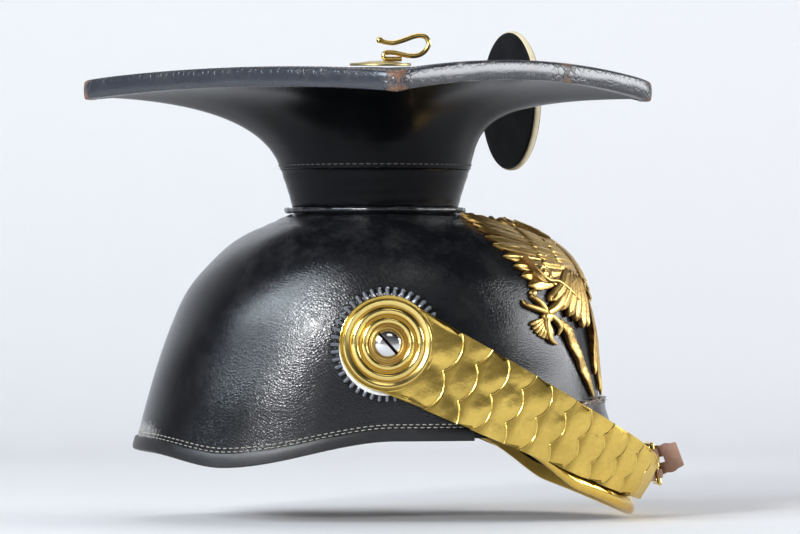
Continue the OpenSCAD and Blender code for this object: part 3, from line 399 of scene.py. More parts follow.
# Dust: settles on what faces up, in patches
dust, into, out = effect("dust", {"Amount": 0.3}, ["Mask"])
where = on_object(dust)
up = put(dust, "SeparateXYZ", {0: put(dust, "NewGeometry").outputs["Normal"]}).outputs["Z"]
patch = noise(dust, where, 55.0, 8.0, 0.72)
lift = times(dust, plus(dust, up, 0.35), 0.8, clamp=True)
share = times(dust, minus(dust, patch, 0.47), 5.0, clamp=True)
dust.links.new(times(dust, times(dust, lift, share), into.outputs["Amount"]), out.inputs["Mask"])


def use(tree, group, **values):
    made = tree.nodes.new("ShaderNodeGroup")
    made.node_tree = group
    for key, value in values.items():
        made.inputs[key].default_value = value
    return made.outputs


def blend_colour(tree, f, a, b):
    made = put(tree, "Mix", {0: f}, data_type="RGBA")
    for k, v in ((6, a), (7, b)):
        if isinstance(v, bpy.types.NodeSocket):
            tree.links.new(v, made.inputs[k])
        else:
            made.inputs[k].default_value = (*v, 1)
    return made.outputs[2]


def black_leather(name, colour, bare, gloss, pebbles=900.0, depth=0.25, scuff=0.35, dusty=0.25, coat=0.0,
                  worn=None, folds=70.0, sheen=0.45):
    """Blacked hide. Where it is worn, the brown or grey of the bare leather shows through; on the cockade
    the same mask paints a grey-blue sheen on the ridges of its flutes.
    """
    made, tree, shader = new_finish(name)
    hide_out = use(tree, grain, Pebbles=pebbles, Folds=folds)
    marks_out = use(tree, scuffs, Amount=scuff)
    dust_out = use(tree, dust, Amount=dusty)
    tone = blend_colour(tree, hide_out["Tone"], [c * 0.7 for c in colour], [c * 1.5 for c in colour])
    shown = blend_colour(tree, times(tree, marks_out["Mask"], 0.35), tone, bare)
    if worn:
        at = marked(tree, worn)
        breakup = noise(tree, on_object(tree), 520.0, 8.0, 0.75)
        wear_and_sheen = times(tree, minus(tree, plus(tree, at, breakup), 0.93), 5.0, clamp=True)
        shown = blend_colour(tree, wear_and_sheen, shown, bare)
    shown = blend_colour(tree, dust_out["Mask"], shown, (0.24, 0.235, 0.22))
    tree.links.new(shown, shader.inputs["Base Color"])
    roughen(tree, shader, gloss, (marks_out["Mask"], 0.2), (dust_out["Mask"], 0.8),
            (hide_out["Tone"], 0.12))
    shader.inputs["Specular IOR Level"].default_value = sheen
    shader.inputs["Coat Weight"].default_value = coat
    shader.inputs["Coat Roughness"].default_value = 0.12
    emboss(tree, shader, depth, 0.0001, hide_out["Height"])
    return made


skull_hide = black_leather("skull_hide", (0.004, 0.0044, 0.0055), (0.2, 0.195, 0.185), 0.17, pebbles=760.0,
                           depth=0.62, scuff=0.22, dusty=0.07, coat=0.04, worn="wear_and_sheen", sheen=0.42)
count, steps = 288, 72
rows = np.concatenate([[0, 0.004, 0.01], np.linspace(0.02, 1, steps)])
PHI, T = np.meshgrid(np.arange(count) * 360 / count, rows, indexing="ij")
# The press line below the neck, and the slow unevenness of old leather
press = -0.45 * hump(T, 0.94, 0.012) - 0.3 * hump(T, 0.9, 0.02)
uneven = 0.28 * np.sin(np.radians(PHI * 3) + T * 9) * np.sin(T * 14 + 1)
uneven = uneven + 0.2 * np.sin(np.radians(PHI * 7) - T * 17)
outer = skin(PHI, T, press + uneven * smooth(0.03, 0.15, T) * (1 - smooth(0.85, 0.97, T)))
inner = skin(PHI, T, -hide)
inner[:, -1] = skull_at(PHI[:, -1], T[:, -1]) - [0, 0, hide + 0.3]
ring = np.concatenate([outer, inner[:, ::-1]], axis=1)
# It is rubbed low at the back, along the binding and round the mouth
above = outer[..., 2] - rim_z(outer[..., 0])
low = 0.62 * np.exp(-((outer[..., 0] + 113) / 11) ** 2 - ((above - 9) / 9) ** 2)
low = np.maximum(low, 0.46 * hump(above, 5.5, 2.8) * (1 - smooth(-95, -45, outer[..., 0])))
low = np.maximum(low, 0.34 * smooth(0.93, 1, T))
worn = np.concatenate([low, low[:, ::-1] * 0], axis=1)
shell("skull", ring, skull_hide, "cap", ["skull_shell"],
      "skull_leather", marks={"wear_and_sheen": worn})

# ---------------------------------------------------------------- binding and stitches of the lower edge
# A strip of thinner leather is folded round the raw edge of the skull and sewn through twice
# with waxed pale thread, from one end of the visor round the back to the other.
binding_hide = black_leather("binding_hide", (0.007, 0.007, 0.008), (0.16, 0.14, 0.12), 0.34,
                             pebbles=1300.0, depth=0.25, scuff=0.5, dusty=0.16, worn="wear_and_sheen")
visor_sweep = 67.0
start = visor_sweep + 3
tape, turn_in = 1.25, hide + 0.15
fold = [(4.7, 0.15), (4.95, 0.5), (4.9, tape - 0.2), (4.3, tape), (2.5, tape + 0.12), (0.6, tape + 0.05),
        (-0.8, tape - 0.1), (-1.25, 0.5), (-1.35, -1.4), (-1.25, -turn_in - 0.3), (-0.8, -turn_in - 0.9),
        (0.6, -turn_in - 1.1), (4.3, -turn_in - 1.1), (4.9, -turn_in - 0.8), (4.95, -turn_in - 0.2),
        (4.7, -turn_in), (-0.2, -turn_in), (-0.2, 0.15)]
steps = 220
around = np.linspace(start, 360 - start, steps)
wave = 0.12 * sin_deg(around * 23) + 0.08 * sin_deg(around * 41 + 30)
ring = np.stack([hem(around, h + (wave if abs(h) > 4 else 0), d) for h, d in fold], axis=1)
edge_mark = np.tile([0.3 if -1.3 < h < -0.7 or h > 4.6 else 0.05 for h, d in fold], steps)
bar("rim_tape", ring, binding_hide, "cap", ["rim_binding"], "binding_leather", marks={"wear_and_sheen": edge_mark})


def thread(name, colour):
    """Waxed linen thread: twisted, slightly fuzzy, dulled by dirt."""
    made, tree, shader = new_finish(name)
    where = on_object(tree)
    twist = put(tree, "TexWave", {"Vector": where, "Scale": 900.0, "Distortion": 2.0,
                                  "Detail": 2.0}).outputs["Fac"]
    dirt = noise(tree, where, 160.0, 5.0)
    tree.links.new(blend_colour(tree, dirt, [c * 0.35 for c in colour], [c * 1.25 for c in colour]),
                   shader.inputs["Base Color"])
    shader.inputs["Roughness"].default_value = 0.8
    emboss(tree, shader, 0.5, 0.0001, twist)
    return made


def stitches(name, path, out_dirs, pitch, length, radius, finish, body):
    """A row of stitches along a line: each is a short plump bar that dips into the leather at its ends."""
    path, out_dirs = np.asarray(path, float), np.asarray(out_dirs, float)
    gaps = np.linalg.norm(np.diff(path, axis=0), axis=1)
    run = np.concatenate([[0], np.cumsum(gaps)])
    sides, cuts = 6, [(-1, -0.9, 0.3), (-0.8, -0.1, 0.85), (0, 0.25, 1), (0.8, -0.1, 0.85), (1, -0.9, 0.3)]
    points, faces = [], []
    for s in np.arange(pitch, run[-1] - pitch, pitch):
        mid, ahead, back, lift = [np.array([np.interp(s + e, run, line[:, k]) for k in range(3)])
                                  for e, line in ((0, path), (0.5, path), (-0.5, path), (0, out_dirs))]
        along = unit(ahead - back)
        lift = unit(lift)
        across = np.cross(along, lift)
        base = len(points)
        for f, up_by, fat in cuts:
            for k in range(sides):
                a = 2 * math.pi * k / sides
                points.append(mid + along * f * length / 2
                              + lift * (up_by * radius + fat * radius * math.sin(a))
                              + across * fat * radius * math.cos(a))
        faces += loft_faces(len(cuts), sides, False, True, start=base) + row_ends(len(cuts), sides, base)
    return piece(name, points, faces, finish, body, sharp=180)


pale_thread = thread("pale_thread", (0.42, 0.39, 0.33))
line = np.linspace(start + 1, 359 - start, 300)
for number, height in enumerate((5.7, 7.3)):
    stitches(f"rim_stitches_{number + 1}", hem(line, height, 0.1),
             skull_out(line, height / wall_run + line * 0), 3.2, 2.2, 0.27, pale_thread, "cap")

# ---------------------------------------------------------------- neck: collar, flare and welt
# The neck is two pieces of smooth blacked calf. The collar is stitched up from the mouth of
# the skull; the flare is sewn over it and stretched out to the square top. A rolled welt
# hides the joint at the foot.
collar_h, seam_r, neck_t = 22.0, 47.2, 2.5
board_side, board_corner, board_z, board_t, board_dome = 207.0, 5.0, 170.0, 4.2, 8.0
arch_front, arch_back, edge_t, edge_lap = 8.0, 4.0, 1.2, 8.0
seam_z = skull_top + collar_h
board_r = board_side / math.sqrt(2) - board_corner
edge_h = board_t + neck_t + 2 * edge_t + 0.3
flare_end_z, flare_end_r = board_z - edge_h / 2 + edge_t + 0.1, board_r - edge_t - 2
rise = flare_end_z - seam_z
flare_back = [(seam_r - neck_x, seam_z), (seam_r - neck_x + 5.8, seam_z + 0.54 * rise),
              (seam_r + 29.8, flare_end_z - 1.5), (flare_end_r, flare_end_z)]
flare_front = [(seam_r + neck_x, seam_z), (seam_r + neck_x + 4.8, seam_z + 0.6 * rise),
               (seam_r + 8.8, flare_end_z - 0.5), (flare_end_r, flare_end_z)]
flare_side = [(seam_r, seam_z), (seam_r + 5.3, seam_z + 0.57 * rise), (seam_r + 20.8, flare_end_z - 1),
              (flare_end_r, flare_end_z)]
corner_k = board_corner / board_r


def squared(phi):
    c, s = cos_deg(phi), sin_deg(phi)
    near, v = c * c > s * s, (1 + corner_k) * np.minimum(c * c, s * s)
    w = 1 + corner_k - np.sqrt(v * v + corner_k**2)
    return np.stack([np.sign(c) * np.where(near, w, v), np.sign(s) * np.where(near, v, w)], -1)


def rounded(phi):
    return np.stack([spow(cos_deg(phi), 2 / mouth_power), spow(sin_deg(phi), 2 / mouth_power)], -1)


def arch(phi):
    return np.where(cos_deg(phi) > 0, arch_front, arch_back) * sin_deg(2 * phi) ** 2


def flare_at(phi, t):
    phi, t = alike(phi, t)
    u = mix(rounded(phi), squared(phi), smooth(0.05, 1, t)[..., None])
    ahead = u[..., 0] > 0
    f = [np.where(ahead, bez(flare_front, t, k), bez(flare_back, t, k)) for k in (0, 1)]
    c = cos_deg(phi) ** 2
    return np.stack([u[..., 0] * f[0], u[..., 1] * bez(flare_side, t, 0),
                     mix(bez(flare_side, t, 1), f[1], c) + arch(phi) * t**2], -1)


def flare(phi, t, d):
    phi, t, d = alike(phi, t, d)
    out = unit(np.cross(flare_at(phi + 1, t) - flare_at(phi - 1, t),
                        flare_at(phi, np.minimum(1, t + 0.01)) - flare_at(phi, np.maximum(0, t - 0.01))))
    return flare_at(phi, t) + out * d[..., None]


def collar(phi, f, d):
    phi, f, d = alike(phi, f, d)
    r = mix(neck_r - 1, seam_r, np.maximum(0, f) ** 1.3) + d
    u = rounded(phi)
    return np.stack([u[..., 0] * r + neck_x, u[..., 1] * r, skull_top + collar_h * f], -1)


neck_calf = black_leather("neck_calf", (0.002, 0.0021, 0.0026), (0.12, 0.11, 0.1), 0.17, pebbles=1500.0,
                          depth=0.12, scuff=0.2, dusty=0.03, coat=0.03, worn="wear_and_sheen", folds=120.0,
                          sheen=0.08)
phis = np.arange(count) * 360 / count
F = np.linspace(-0.3, 0.985, 34)
PHI, FF = np.meshgrid(phis, F, indexing="ij")
ripple = 0.05 * np.sin(FF * 26 + 1.4 * sin_deg(PHI * 2)) * smooth(0, 0.2, FF)
ripple -= 0.35 * hump(FF, 0.93, 0.03)
tucked = [flare(phis, 0.005, -neck_t - 0.1) - [0, 0, 0.3], flare(phis, 0.08, -neck_t - 0.2),
          flare(phis, 0.08, -2 * neck_t - 0.2), collar(phis, 0.9, -neck_t - 2.2),
          collar(phis, 0.6, -neck_t), collar(phis, -0.3, -neck_t)]
ring = np.concatenate([collar(PHI, FF, ripple), np.stack(tucked, 1)], axis=1)
rub = np.concatenate([0.28 * hump(FF, 0.16, 0.05), np.zeros((count, 6))], axis=1)
shell("neck_collar_leather", ring, neck_calf, "cap",
      ["neck_collar"], "neck_leather", marks={"wear_and_sheen": rub})

rows = np.concatenate([[0, 0.006, 0.014], np.linspace(0.03, 1, 60)])
PHI, T = np.meshgrid(phis, rows, indexing="ij")
# The raw lower edge of the flare stands proud over the collar; above it the calf is drawn into
# shallow pleats that fan out to the corners
pleat = 0.1 * sin_deg(PHI * 16 + 20 * sin_deg(PHI * 3)) * smooth(0.02, 0.2, T) \
    * (1 - smooth(0.55, 0.9, T))
lipped = 0.4 * (1 - smooth(0.0, 0.03, T))
lipped = lipped + 0.04 * np.sin(T * 60 + np.radians(PHI * 2)) * (1 - smooth(0.15, 0.4, T))
outer = flare(PHI, T, lipped * smooth(0, 0.01, T) + pleat)
inner = flare(PHI, T, -neck_t)
ring = np.concatenate([outer, inner[:, ::-1]], axis=1)
rub = 0.42 * hump(T, 0, 0.012) + 0.2 * smooth(0.95, 1, T)
ring_marks = np.concatenate([rub, rub * 0], axis=1)
shell("neck_flare_leather", ring, neck_calf, "cap",
      ["neck_flare"], "neck_leather", marks={"wear_and_sheen": ring_marks})
line = np.linspace(0, 360, 400)
stitches("neck_stitches", flare(line, 0.035, 0.15), flare(line, 0.035, 1.15) - flare(line, 0.035, 0.15),
         3.4, 2.4, 0.3, thread("dark_thread", (0.06, 0.056, 0.05)), "cap")

welt_hide = black_leather("welt_hide", (0.007, 0.0075, 0.009), (0.28, 0.27, 0.25), 0.2, pebbles=1200.0,
                          depth=0.2, scuff=0.5, dusty=0.15, coat=0.3, worn="wear_and_sheen")
PHI, A = np.meshgrid(phis, np.linspace(0, 360, 14, endpoint=False), indexing="ij")
fat = 1 + 0.12 * sin_deg(PHI * 9) + 0.08 * sin_deg(PHI * 31)
ring = collar(PHI, (1.75 + 1.35 * sin_deg(A) * fat) / collar_h, 2.75 + 1.4 * cos_deg(A) * fat)
rub = 0.36 * np.maximum(0, sin_deg(A + 40))
shell("welt", ring, welt_hide, "cap", ["neck_welt"], "neck_leather", flip=False, marks={"wear_and_sheen": rub})

# ---------------------------------------------------------------- square top and its edge
# A stiff square board is covered with waxed leather, dulled by handling to an olive black.
# A strip of patent leather is folded round its edge and stitched; the corners are worn to
# the brown hide and the varnish has crazed.
board_edge_z = board_z + edge_h / 2 - edge_t - 0.1


def board_top(phi, q):
    phi, q = alike(phi, q)
    u = squared(phi) * ((board_r - edge_t - 0.2) * q)[..., None]
    return np.stack([u[..., 0], u[..., 1], board_edge_z + board_dome * (1 - q * q) + arch(phi) * q**3], -1)


top_hide = black_leather("top_hide", (0.022, 0.022, 0.016), (0.2, 0.18, 0.13), 0.56, pebbles=700.0,
                         depth=0.3, scuff=0.6, dusty=0.16, worn="wear_and_sheen", folds=40.0, sheen=0.2)
rows = np.linspace(0.004, 1, 70)
PHI, Q = np.meshgrid(phis, rows, indexing="ij")
sag = 0.35 * np.sin(Q * 9 + 2 * sin_deg(PHI)) * sin_deg(PHI * 2 + 40) * (1 - smooth(0.8, 0.93, Q))
outer = board_top(PHI, Q) + np.stack([sag * 0, sag * 0, sag - 0.15], -1)
inner = board_top(PHI, Q) - [0, 0, board_t]
ring = np.concatenate([outer, inner[:, ::-1]], axis=1)
rub = np.concatenate([0.25 * smooth(0.8, 1, Q), Q * 0], axis=1)
slab("top_leather", ring, top_hide, "cap", ["crown_board"], "top_board", marks={"wear_and_sheen": rub})


def patent_leather(name):
    """Varnished black hide, crazed and chipped where the mark says so."""
    made, tree, shader = new_finish(name)
    where = on_object(tree)
    at = marked(tree, "wear_and_sheen")
    marks_out = use(tree, scuffs, Amount=0.42, Scale=90.0)
    dust_out = use(tree, dust, Amount=0.18)
    crazing = cells(tree, where, 260.0, 0.006, 90.0, 3.0)
    crack = minus(tree, 1.0, times(tree, crazing, 9.0, clamp=True), clamp=True)
    crack = times(tree, crack, times(tree, at, 2.0, clamp=True))
    chips = noise(tree, where, 210.0, 9.0, 0.75)
    bare = times(tree, minus(tree, plus(tree, at, chips), 1.06), 7.0, clamp=True)
    tone = blend_colour(tree, marks_out["Mask"], (0.024, 0.028, 0.036), (0.055, 0.056, 0.06))
    brown = blend_colour(tree, chips, (0.06, 0.022, 0.012), (0.3, 0.15, 0.08))
    shown = blend_colour(tree, bare, tone, brown)
    shown = blend_colour(tree, times(tree, crack, 0.7), shown, (0.05, 0.035, 0.028))
    shown = blend_colour(tree, dust_out["Mask"], shown, (0.22, 0.21, 0.19))
    tree.links.new(shown, shader.inputs["Base Color"])
    roughen(tree, shader, 0.24, (marks_out["Mask"], 0.22), (bare, 0.35), (dust_out["Mask"], 0.7))
    shader.inputs["Coat Weight"].default_value = 0.15
    shader.inputs["Coat Roughness"].default_value = 0.14
    worn_deep = plus(tree, crack, bare)
    low_wave = noise(tree, where, 60.0, 4.0)
    height = minus(tree, times(tree, low_wave, 1.6), worn_deep)
    emboss(tree, shader, 0.45, 0.0005, height)
    return made


bottom, top = board_z - edge_h / 2, board_z + edge_h / 2
in_q = (board_r - edge_lap) / board_r
# The strip round the edge, from below upwards: mm out from the board's edge, mm up
side_turn = [(-6, 0), (-3, -0.15), (-1.2, 0), (-0.4, 0.45), (0.05, 1.4), (0.3, edge_h * 0.35),
             (0.38, edge_h / 2), (0.3, edge_h * 0.65), (0.05, edge_h - 1.4), (-0.4, edge_h - 0.5),
             (-1.2, edge_h)]
fine = 480
phis_fine = np.arange(fine) * 360 / fine
u = squared(phis_fine)


def edge_pt(r, z):
    return np.concatenate([u * r, (z + arch(phis_fine))[:, None]], axis=1)


jolt = 0.22 * sin_deg(phis_fine * 13 + 10) + 0.16 * sin_deg(phis_fine * 37)
ring = [edge_pt(board_r + dr, bottom + dz + (jolt if 0.2 < dz < edge_h - 1 else 0)) for dr, dz in side_turn]
for q in np.linspace(0.982, in_q, 9):
    seam = 0.35 * math.exp(-((q - in_q - 0.012) / 0.006) ** 2)
    p = board_top(phis_fine, q)
    ring.append(p + [0, 0, 0.25 + edge_t - 0.2 + seam])
p = board_top(phis_fine, in_q)
ring += [p + [0, 0, 0.3], edge_pt(board_r - edge_t, top - edge_t + 0.1),
         edge_pt(board_r - edge_t, bottom + edge_t), edge_pt(board_r - 6, bottom + edge_t - 0.2)]
ring = np.stack(ring, axis=1)
corner = np.max(np.abs(u), axis=1)
near_corner = smooth(0.965, 1.0, corner)
hit = np.exp(-((ring[..., 0] - 91) / 7) ** 2 - ((ring[..., 1] + 52) / 9) ** 2)
hit = hit * smooth(166, 172, ring[..., 2])
at_edge = np.array([0.1, 0.15, 0.3, 0.35, 0.2, 0.05, 0, 0.05, 0.25, 0.4, 0.3] + [0.12] * 9
                   + [0.25, 0, 0, 0])
rub = near_corner[:, None] * 0.56 + at_edge[None, :] * 0.62 + hit * 0.5 + 0.05
rub[:, -2:] = 0
shell("edge_binding", ring, patent_leather("edge_patent"),
      "cap", ["board_binding"], "patent_leather", marks={"wear_and_sheen": rub})
line = np.linspace(0, 360, 1400)
p = board_top(line, in_q + 0.022) + [0, 0, edge_t + 0.15]
stitches("edge_stitches", p, p * 0 + [0, 0, 1.0], 3.0, 2.1, 0.2, thread("black_thread", (0.02, 0.02, 0.02)),
         "cap")

# ---------------------------------------------------------------- visor and its trim
# The visor is two layers of stiff leather, varnished above, sewn to the front of the skull; the
# cut edge of its lap has frayed. A strip of brass is folded over its lower edge.
visor_reach, visor_drop, visor_t, visor_lap = 15.5, 53.0, 2.2, 6.0
# It fades out by this share between these degrees, bulges by so much and stands so far off the skull
visor_fade, fade_from, fade_to, visor_bulge, visor_off = 0.7, 40, 66, 0.8, 0.4
brass_at, seam_up = 0.97, 3.4


def visor_g(p):
    """How deep the visor is p degrees from the front, as a share of its depth there."""
    round_in = np.maximum(0, cos_deg(90 * np.asarray(p, float) / visor_sweep)) ** 0.8
    return round_in * (1 - visor_fade * smooth(fade_from, fade_to, np.abs(p)))


def visor_at(p, v, d):
    p, v, d = alike(p, v, d)
    out = skull_out(p, p * 0)
    out = unit(out * [1, 1, 0])
    g = visor_g(p)
    drop = np.stack([g * 0, g * 0, -visor_drop * g * v - 0.1], -1)
    return hem(p, 0, visor_off + d) + out * ((visor_reach - visor_t) * g * v)[..., None] + drop


visor_hide = black_leather("visor_hide", (0.012, 0.008, 0.006), (0.2, 0.12, 0.07), 0.24, pebbles=1100.0,
                           depth=0.2, scuff=0.55, dusty=0.3, coat=0.3, worn="wear_and_sheen")
steps = 160
p = np.linspace(-visor_sweep + 1.5, visor_sweep - 1.5, steps)
g = visor_g(p)
ring, rub = [], []
for v in np.linspace(brass_at, 0, 26):
    ring.append(visor_at(p, v, visor_t + visor_bulge * 4 * v * (1 - v) * g))
    rub.append(0.15 + 0.4 * math.exp(-((v - brass_at) / 0.05) ** 2))
for h in (1, 2.2, seam_up, 4.6, 5.4):
    ring.append(hem(p, h, visor_off + visor_t - 0.25 * math.exp(-((h - seam_up) / 0.7) ** 2)))
    rub.append(0.3 + 0.05 * h)
fray = 0.35 * sin_deg(p * 47) + 0.3 * sin_deg(p * 83 + 20)
ring += [hem(p, visor_lap + fray, visor_off + visor_t * 0.8), hem(p, visor_lap + fray, 0.5)]
rub += [0.75, 0.75]
for v in np.linspace(0, brass_at, 8):
    ring.append(visor_at(p, v, visor_bulge * 4 * v * (1 - v) * g))
    rub.append(0.1)
ring = np.stack(ring, axis=1)
bar("visor_leather", ring, visor_hide, "cap", ["visor"], "visor_leather",
    marks={"wear_and_sheen": np.tile(rub, steps)})
line = np.linspace(-visor_sweep + 3, visor_sweep - 3, 260)
grey_thread = thread("grey_thread", (0.3, 0.29, 0.27))
stitches("visor_stitches", hem(line, seam_up, visor_off + visor_t - 0.1), skull_out(line, 0.01), 3.0, 2.3,
         0.32, grey_thread, "cap")

# Frayed ends of thread along the lap
rng = np.random.default_rng(7)
ends_n, third, upward = 110, 2.094, np.array([0, 0, 1.0])
points, faces = [], []
for k in range(ends_n):
    a = rng.uniform(-visor_sweep + 4, visor_sweep - 4) if k % 3 else rng.uniform(-22, 4)
    root = hem(a, seam_up + rng.uniform(0, 2.4), visor_off + visor_t)
    lift = skull_out(a, 0.02)
    side = unit(np.cross(lift, upward))
    lean = rng.uniform(-1.6, 1.6)
    size = rng.uniform(1.2, 3.2)
    base = len(points)
    for f in (0, 0.5, 1):
        rise = np.array([0, 0, size * 0.7 * (f - 0.6 * f * f)])
        mid = root + lift * (size * 0.45 * f - 0.2) + side * lean * f * f + rise
        fat = 0.16 * (1 - 0.7 * f)
        for n in range(3):
            b = third * n
            points.append(mid + side * fat * math.cos(b) + upward * fat * math.sin(b))
    faces += loft_faces(3, 3, False, True, start=base) + row_ends(3, 3, base, flip=True)
piece("visor_fray", points, faces, grey_thread, "cap", sharp=180)

# ---------------------------------------------------------------- front plate
# The spread eagle is stamped from sheet brass in deep relief and gilded: long wing feathers
# over a thin ground, coverts over their roots, a scaled breast, and claws and scroll below.
# The gilding has worn bright on the ridges and gone brown and black in the hollows; the dark of the hollows
# is also painted shade.
plate_mid, mm_per_deg, mm_per_t = 0.52, 1.45, 138.0


def on_front(a, b, d):
    """A point on the front of the skull: a mm to the left, b mm up from the plate's middle, d mm off."""
    up = np.clip(plate_mid + np.asarray(b, float) / mm_per_t, 0.035, 0.985)
    return skin(np.asarray(a, float) / mm_per_deg, up, d)


def old_metal(name, bright, deep, rough, age, depth=0.35, low=None, blotch=60.0):
    """Brass with handling marks; tarnish gathers in patches. Where the mark says it is low, the deep colour
    is painted in: tarnish there, and painted shade of hollows and overlaps.
    """
    made, tree, shader = new_finish(name)
    where = on_object(tree)
    patch = noise(tree, where, blotch, 9.0, 0.7)
    fine = noise(tree, where, blotch * 14, 4.0)
    marks_out = use(tree, scuffs, Amount=0.5, Scale=120.0)
    aged = minus(tree, plus(tree, patch, times(tree, fine, 0.25)), 1.12 - age)
    aged = times(tree, aged, 3.4, clamp=True)
    if low:
        # The mark paints tarnish together with painted shade in hollows, under overlaps and in slots
        at = marked(tree, low)
        shade_and_tarnish = plus(tree, at, times(tree, minus(tree, patch, 0.5), 0.9))
        aged = math_node(tree, "MAXIMUM", times(tree, aged, 0.5), shade_and_tarnish)
        aged = times(tree, aged, 1.0, clamp=True)
    tone = blend_colour(tree, fine, [c * 0.86 for c in bright], [min(1, c * 1.1) for c in bright])
    shown = blend_colour(tree, aged, tone, deep)
    tree.links.new(shown, shader.inputs["Base Color"])
    shader.inputs["Metallic"].default_value = 1
    roughen(tree, shader, rough, (aged, 0.28), (marks_out["Mask"], 0.14))
    dents = noise(tree, where, 45.0, 3.0)
    height = plus(tree, times(tree, dents, 2.0), times(tree, fine, 0.12))
    height = minus(tree, height, times(tree, marks_out["Mask"], 0.1))
    emboss(tree, shader, depth, 0.0004, height)
    return made


gilt = old_metal("antique_gilt", (0.7, 0.47, 0.15), (0.12, 0.06, 0.02), 0.31, 0.36, depth=0.3, low="shade_and_tarnish",
                 blotch=110.0)


def curve(path, n):
    """A smooth line through points, n points along it."""
    path = np.asarray(path, float)
    ends = np.vstack([2 * path[0] - path[1], path, 2 * path[-1] - path[-2]])
    out = []
    for f in np.linspace(0, len(path) - 1, n):
        k = min(int(f), len(path) - 2)
        t = f - k
        a, b, c, d = ends[k:k + 4]
        out.append(0.5 * (2 * b + (c - a) * t + (2 * a - 5 * b + 4 * c - d) * t * t
                          + (3 * b - a - 3 * c + d) * t**3))
    return np.array(out)


class Relief:
    """Raised forms laid on the front of the skull, gathered into one mesh."""

    def __init__(self):
        self.points, self.faces, self.marks = [], [], []

    def ridge(self, path, widths, lift, dome, rib=0.0, barbs=0.0, pitch=2.0, n=26, foot=0.35):
        """A raised band along a line: widths and lift run from its first end to its last."""
        mid = curve(path, n)
        s = np.linspace(0, 1, n)
        half = np.interp(s, np.linspace(0, 1, len(widths)), widths)
        up = np.interp(s, np.linspace(0, 1, len(lift)), lift)
        ahead = np.gradient(mid, axis=0)
        ahead /= np.maximum(np.linalg.norm(ahead, axis=1, keepdims=True), 1e-6)
        side = np.stack([-ahead[:, 1], ahead[:, 0]], 1)
        run = np.concatenate([[0], np.cumsum(np.linalg.norm(np.diff(mid, axis=0), axis=1))])
        v = np.linspace(-1, 1, 11)
        top = up[:, None] + dome * np.sqrt(1 - 0.96 * v**2)[None, :] * np.minimum(1, half / 1.5)[:, None]
        wave = np.sin(2 * math.pi * (run[:, None] - 0.9 * half[:, None] * np.abs(v)[None, :]) / pitch)
        top = top + rib * hump(v, 0, 0.16)[None, :]
        top = top + barbs * wave * (np.abs(v) > 0.15) * (np.abs(v) < 0.95)
        spot = mid[:, None, :] + side[:, None, :] * (half[:, None] * v[None, :])[..., None]
        grid = on_front(spot[..., 0], spot[..., 1], top)
        low = on_front(spot[:, [-1, 0], 0], spot[:, [-1, 0], 1], np.minimum(foot, up[:, None] - 0.1))
        ring = np.concatenate([grid, low], axis=1)
        # Painted shade with tarnish: darker at the edges and the root of each feather and between its barbs
        shade_and_tarnish = 0.75 * np.abs(v)[None, :] ** 6 + 0.45 * (1 - s[:, None]) ** 2
        shade_and_tarnish = shade_and_tarnish + (0.35 * (wave < -0.3) if barbs else 0)
        shade_and_tarnish = np.concatenate([shade_and_tarnish + 0 * top, np.ones((n, 2))], axis=1)
        self.add(ring, shade_and_tarnish, n, 13)

    def add(self, ring, shade_and_tarnish, rows, cols):
        start = len(self.points)
        self.points.extend(ring.reshape(-1, 3))
        self.marks.extend(shade_and_tarnish.ravel())
        self.faces += loft_faces(rows, cols, False, True, start=start) + row_ends(rows, cols, start)

    def feather(self, root, tip, width, lift, bend=0.0, barbs=0.13, dome=0.7):
        root, tip = np.asarray(root, float), np.asarray(tip, float)
        side = np.array([-(tip - root)[1], (tip - root)[0]])
        w = width / 2
        shape = [0.4 * w, 0.6 * w, 0.8 * w, 0.95 * w, w, w, w, w, w, w, 0.98 * w, 0.9 * w, 0.7 * w, 0.1]
        self.ridge([root, (root + tip) / 2 + side * bend, tip], shape, lift, dome, rib=0.35, barbs=barbs)

    def boss(self, at, r, lift, dome, rings=0):
        """A round raised button."""
        rows, cols = 9, 26
        q, a = np.linspace(0.02, 1, rows), round_steps(cols)
        x, y = at[0] + r * np.outer(q, np.cos(a)), at[1] + r * np.outer(q, np.sin(a))
        h = lift + dome * np.sqrt(1 - 0.97 * q**2)[:, None]
        if rings:
            h = h + 0.3 * np.sin(q * rings * 6.28)[:, None]
        ring = np.concatenate([on_front(x, y, h + 0 * x), on_front(x[-1:], y[-1:], 0.35)])
        # Painted shade with tarnish round the edge of the button
        shade_and_tarnish = np.concatenate([np.outer(0.7 * q**8, np.ones(cols)), np.ones((1, cols))])
        self.add(ring, shade_and_tarnish, rows + 1, cols)

    def made(self, name, stands_for=()):
        return piece(name, self.points, self.faces, gilt, "cap", stands_for, "gilt_brass", sharp=50,
                     marks={"shade_and_tarnish": self.marks})


def fan(form, side, tips, first, last, width, low, odd, bend, dome):
    """Feathers whose roots run from the first point to the last; each tip is an angle and a reach.
    low is how high they lie, odd how much more every second one does."""
    for k, (turn, reach) in enumerate(tips):
        f = k / (len(tips) - 1)
        root = (side * mix(first[0], last[0], f), mix(first[1], last[1], f))
        tip = (side * reach * math.cos(math.radians(turn)), reach * math.sin(math.radians(turn)))
        form.feather(root, tip, width, [a + b * (k % 2) for a, b in zip(low, odd)], bend * side, dome=dome)


def even(first, last, n):
    """Angles and reaches in n even steps."""
    return [(mix(first[0], last[0], k / (n - 1)), mix(first[1], last[1], k / (n - 1))) for k in range(n)]


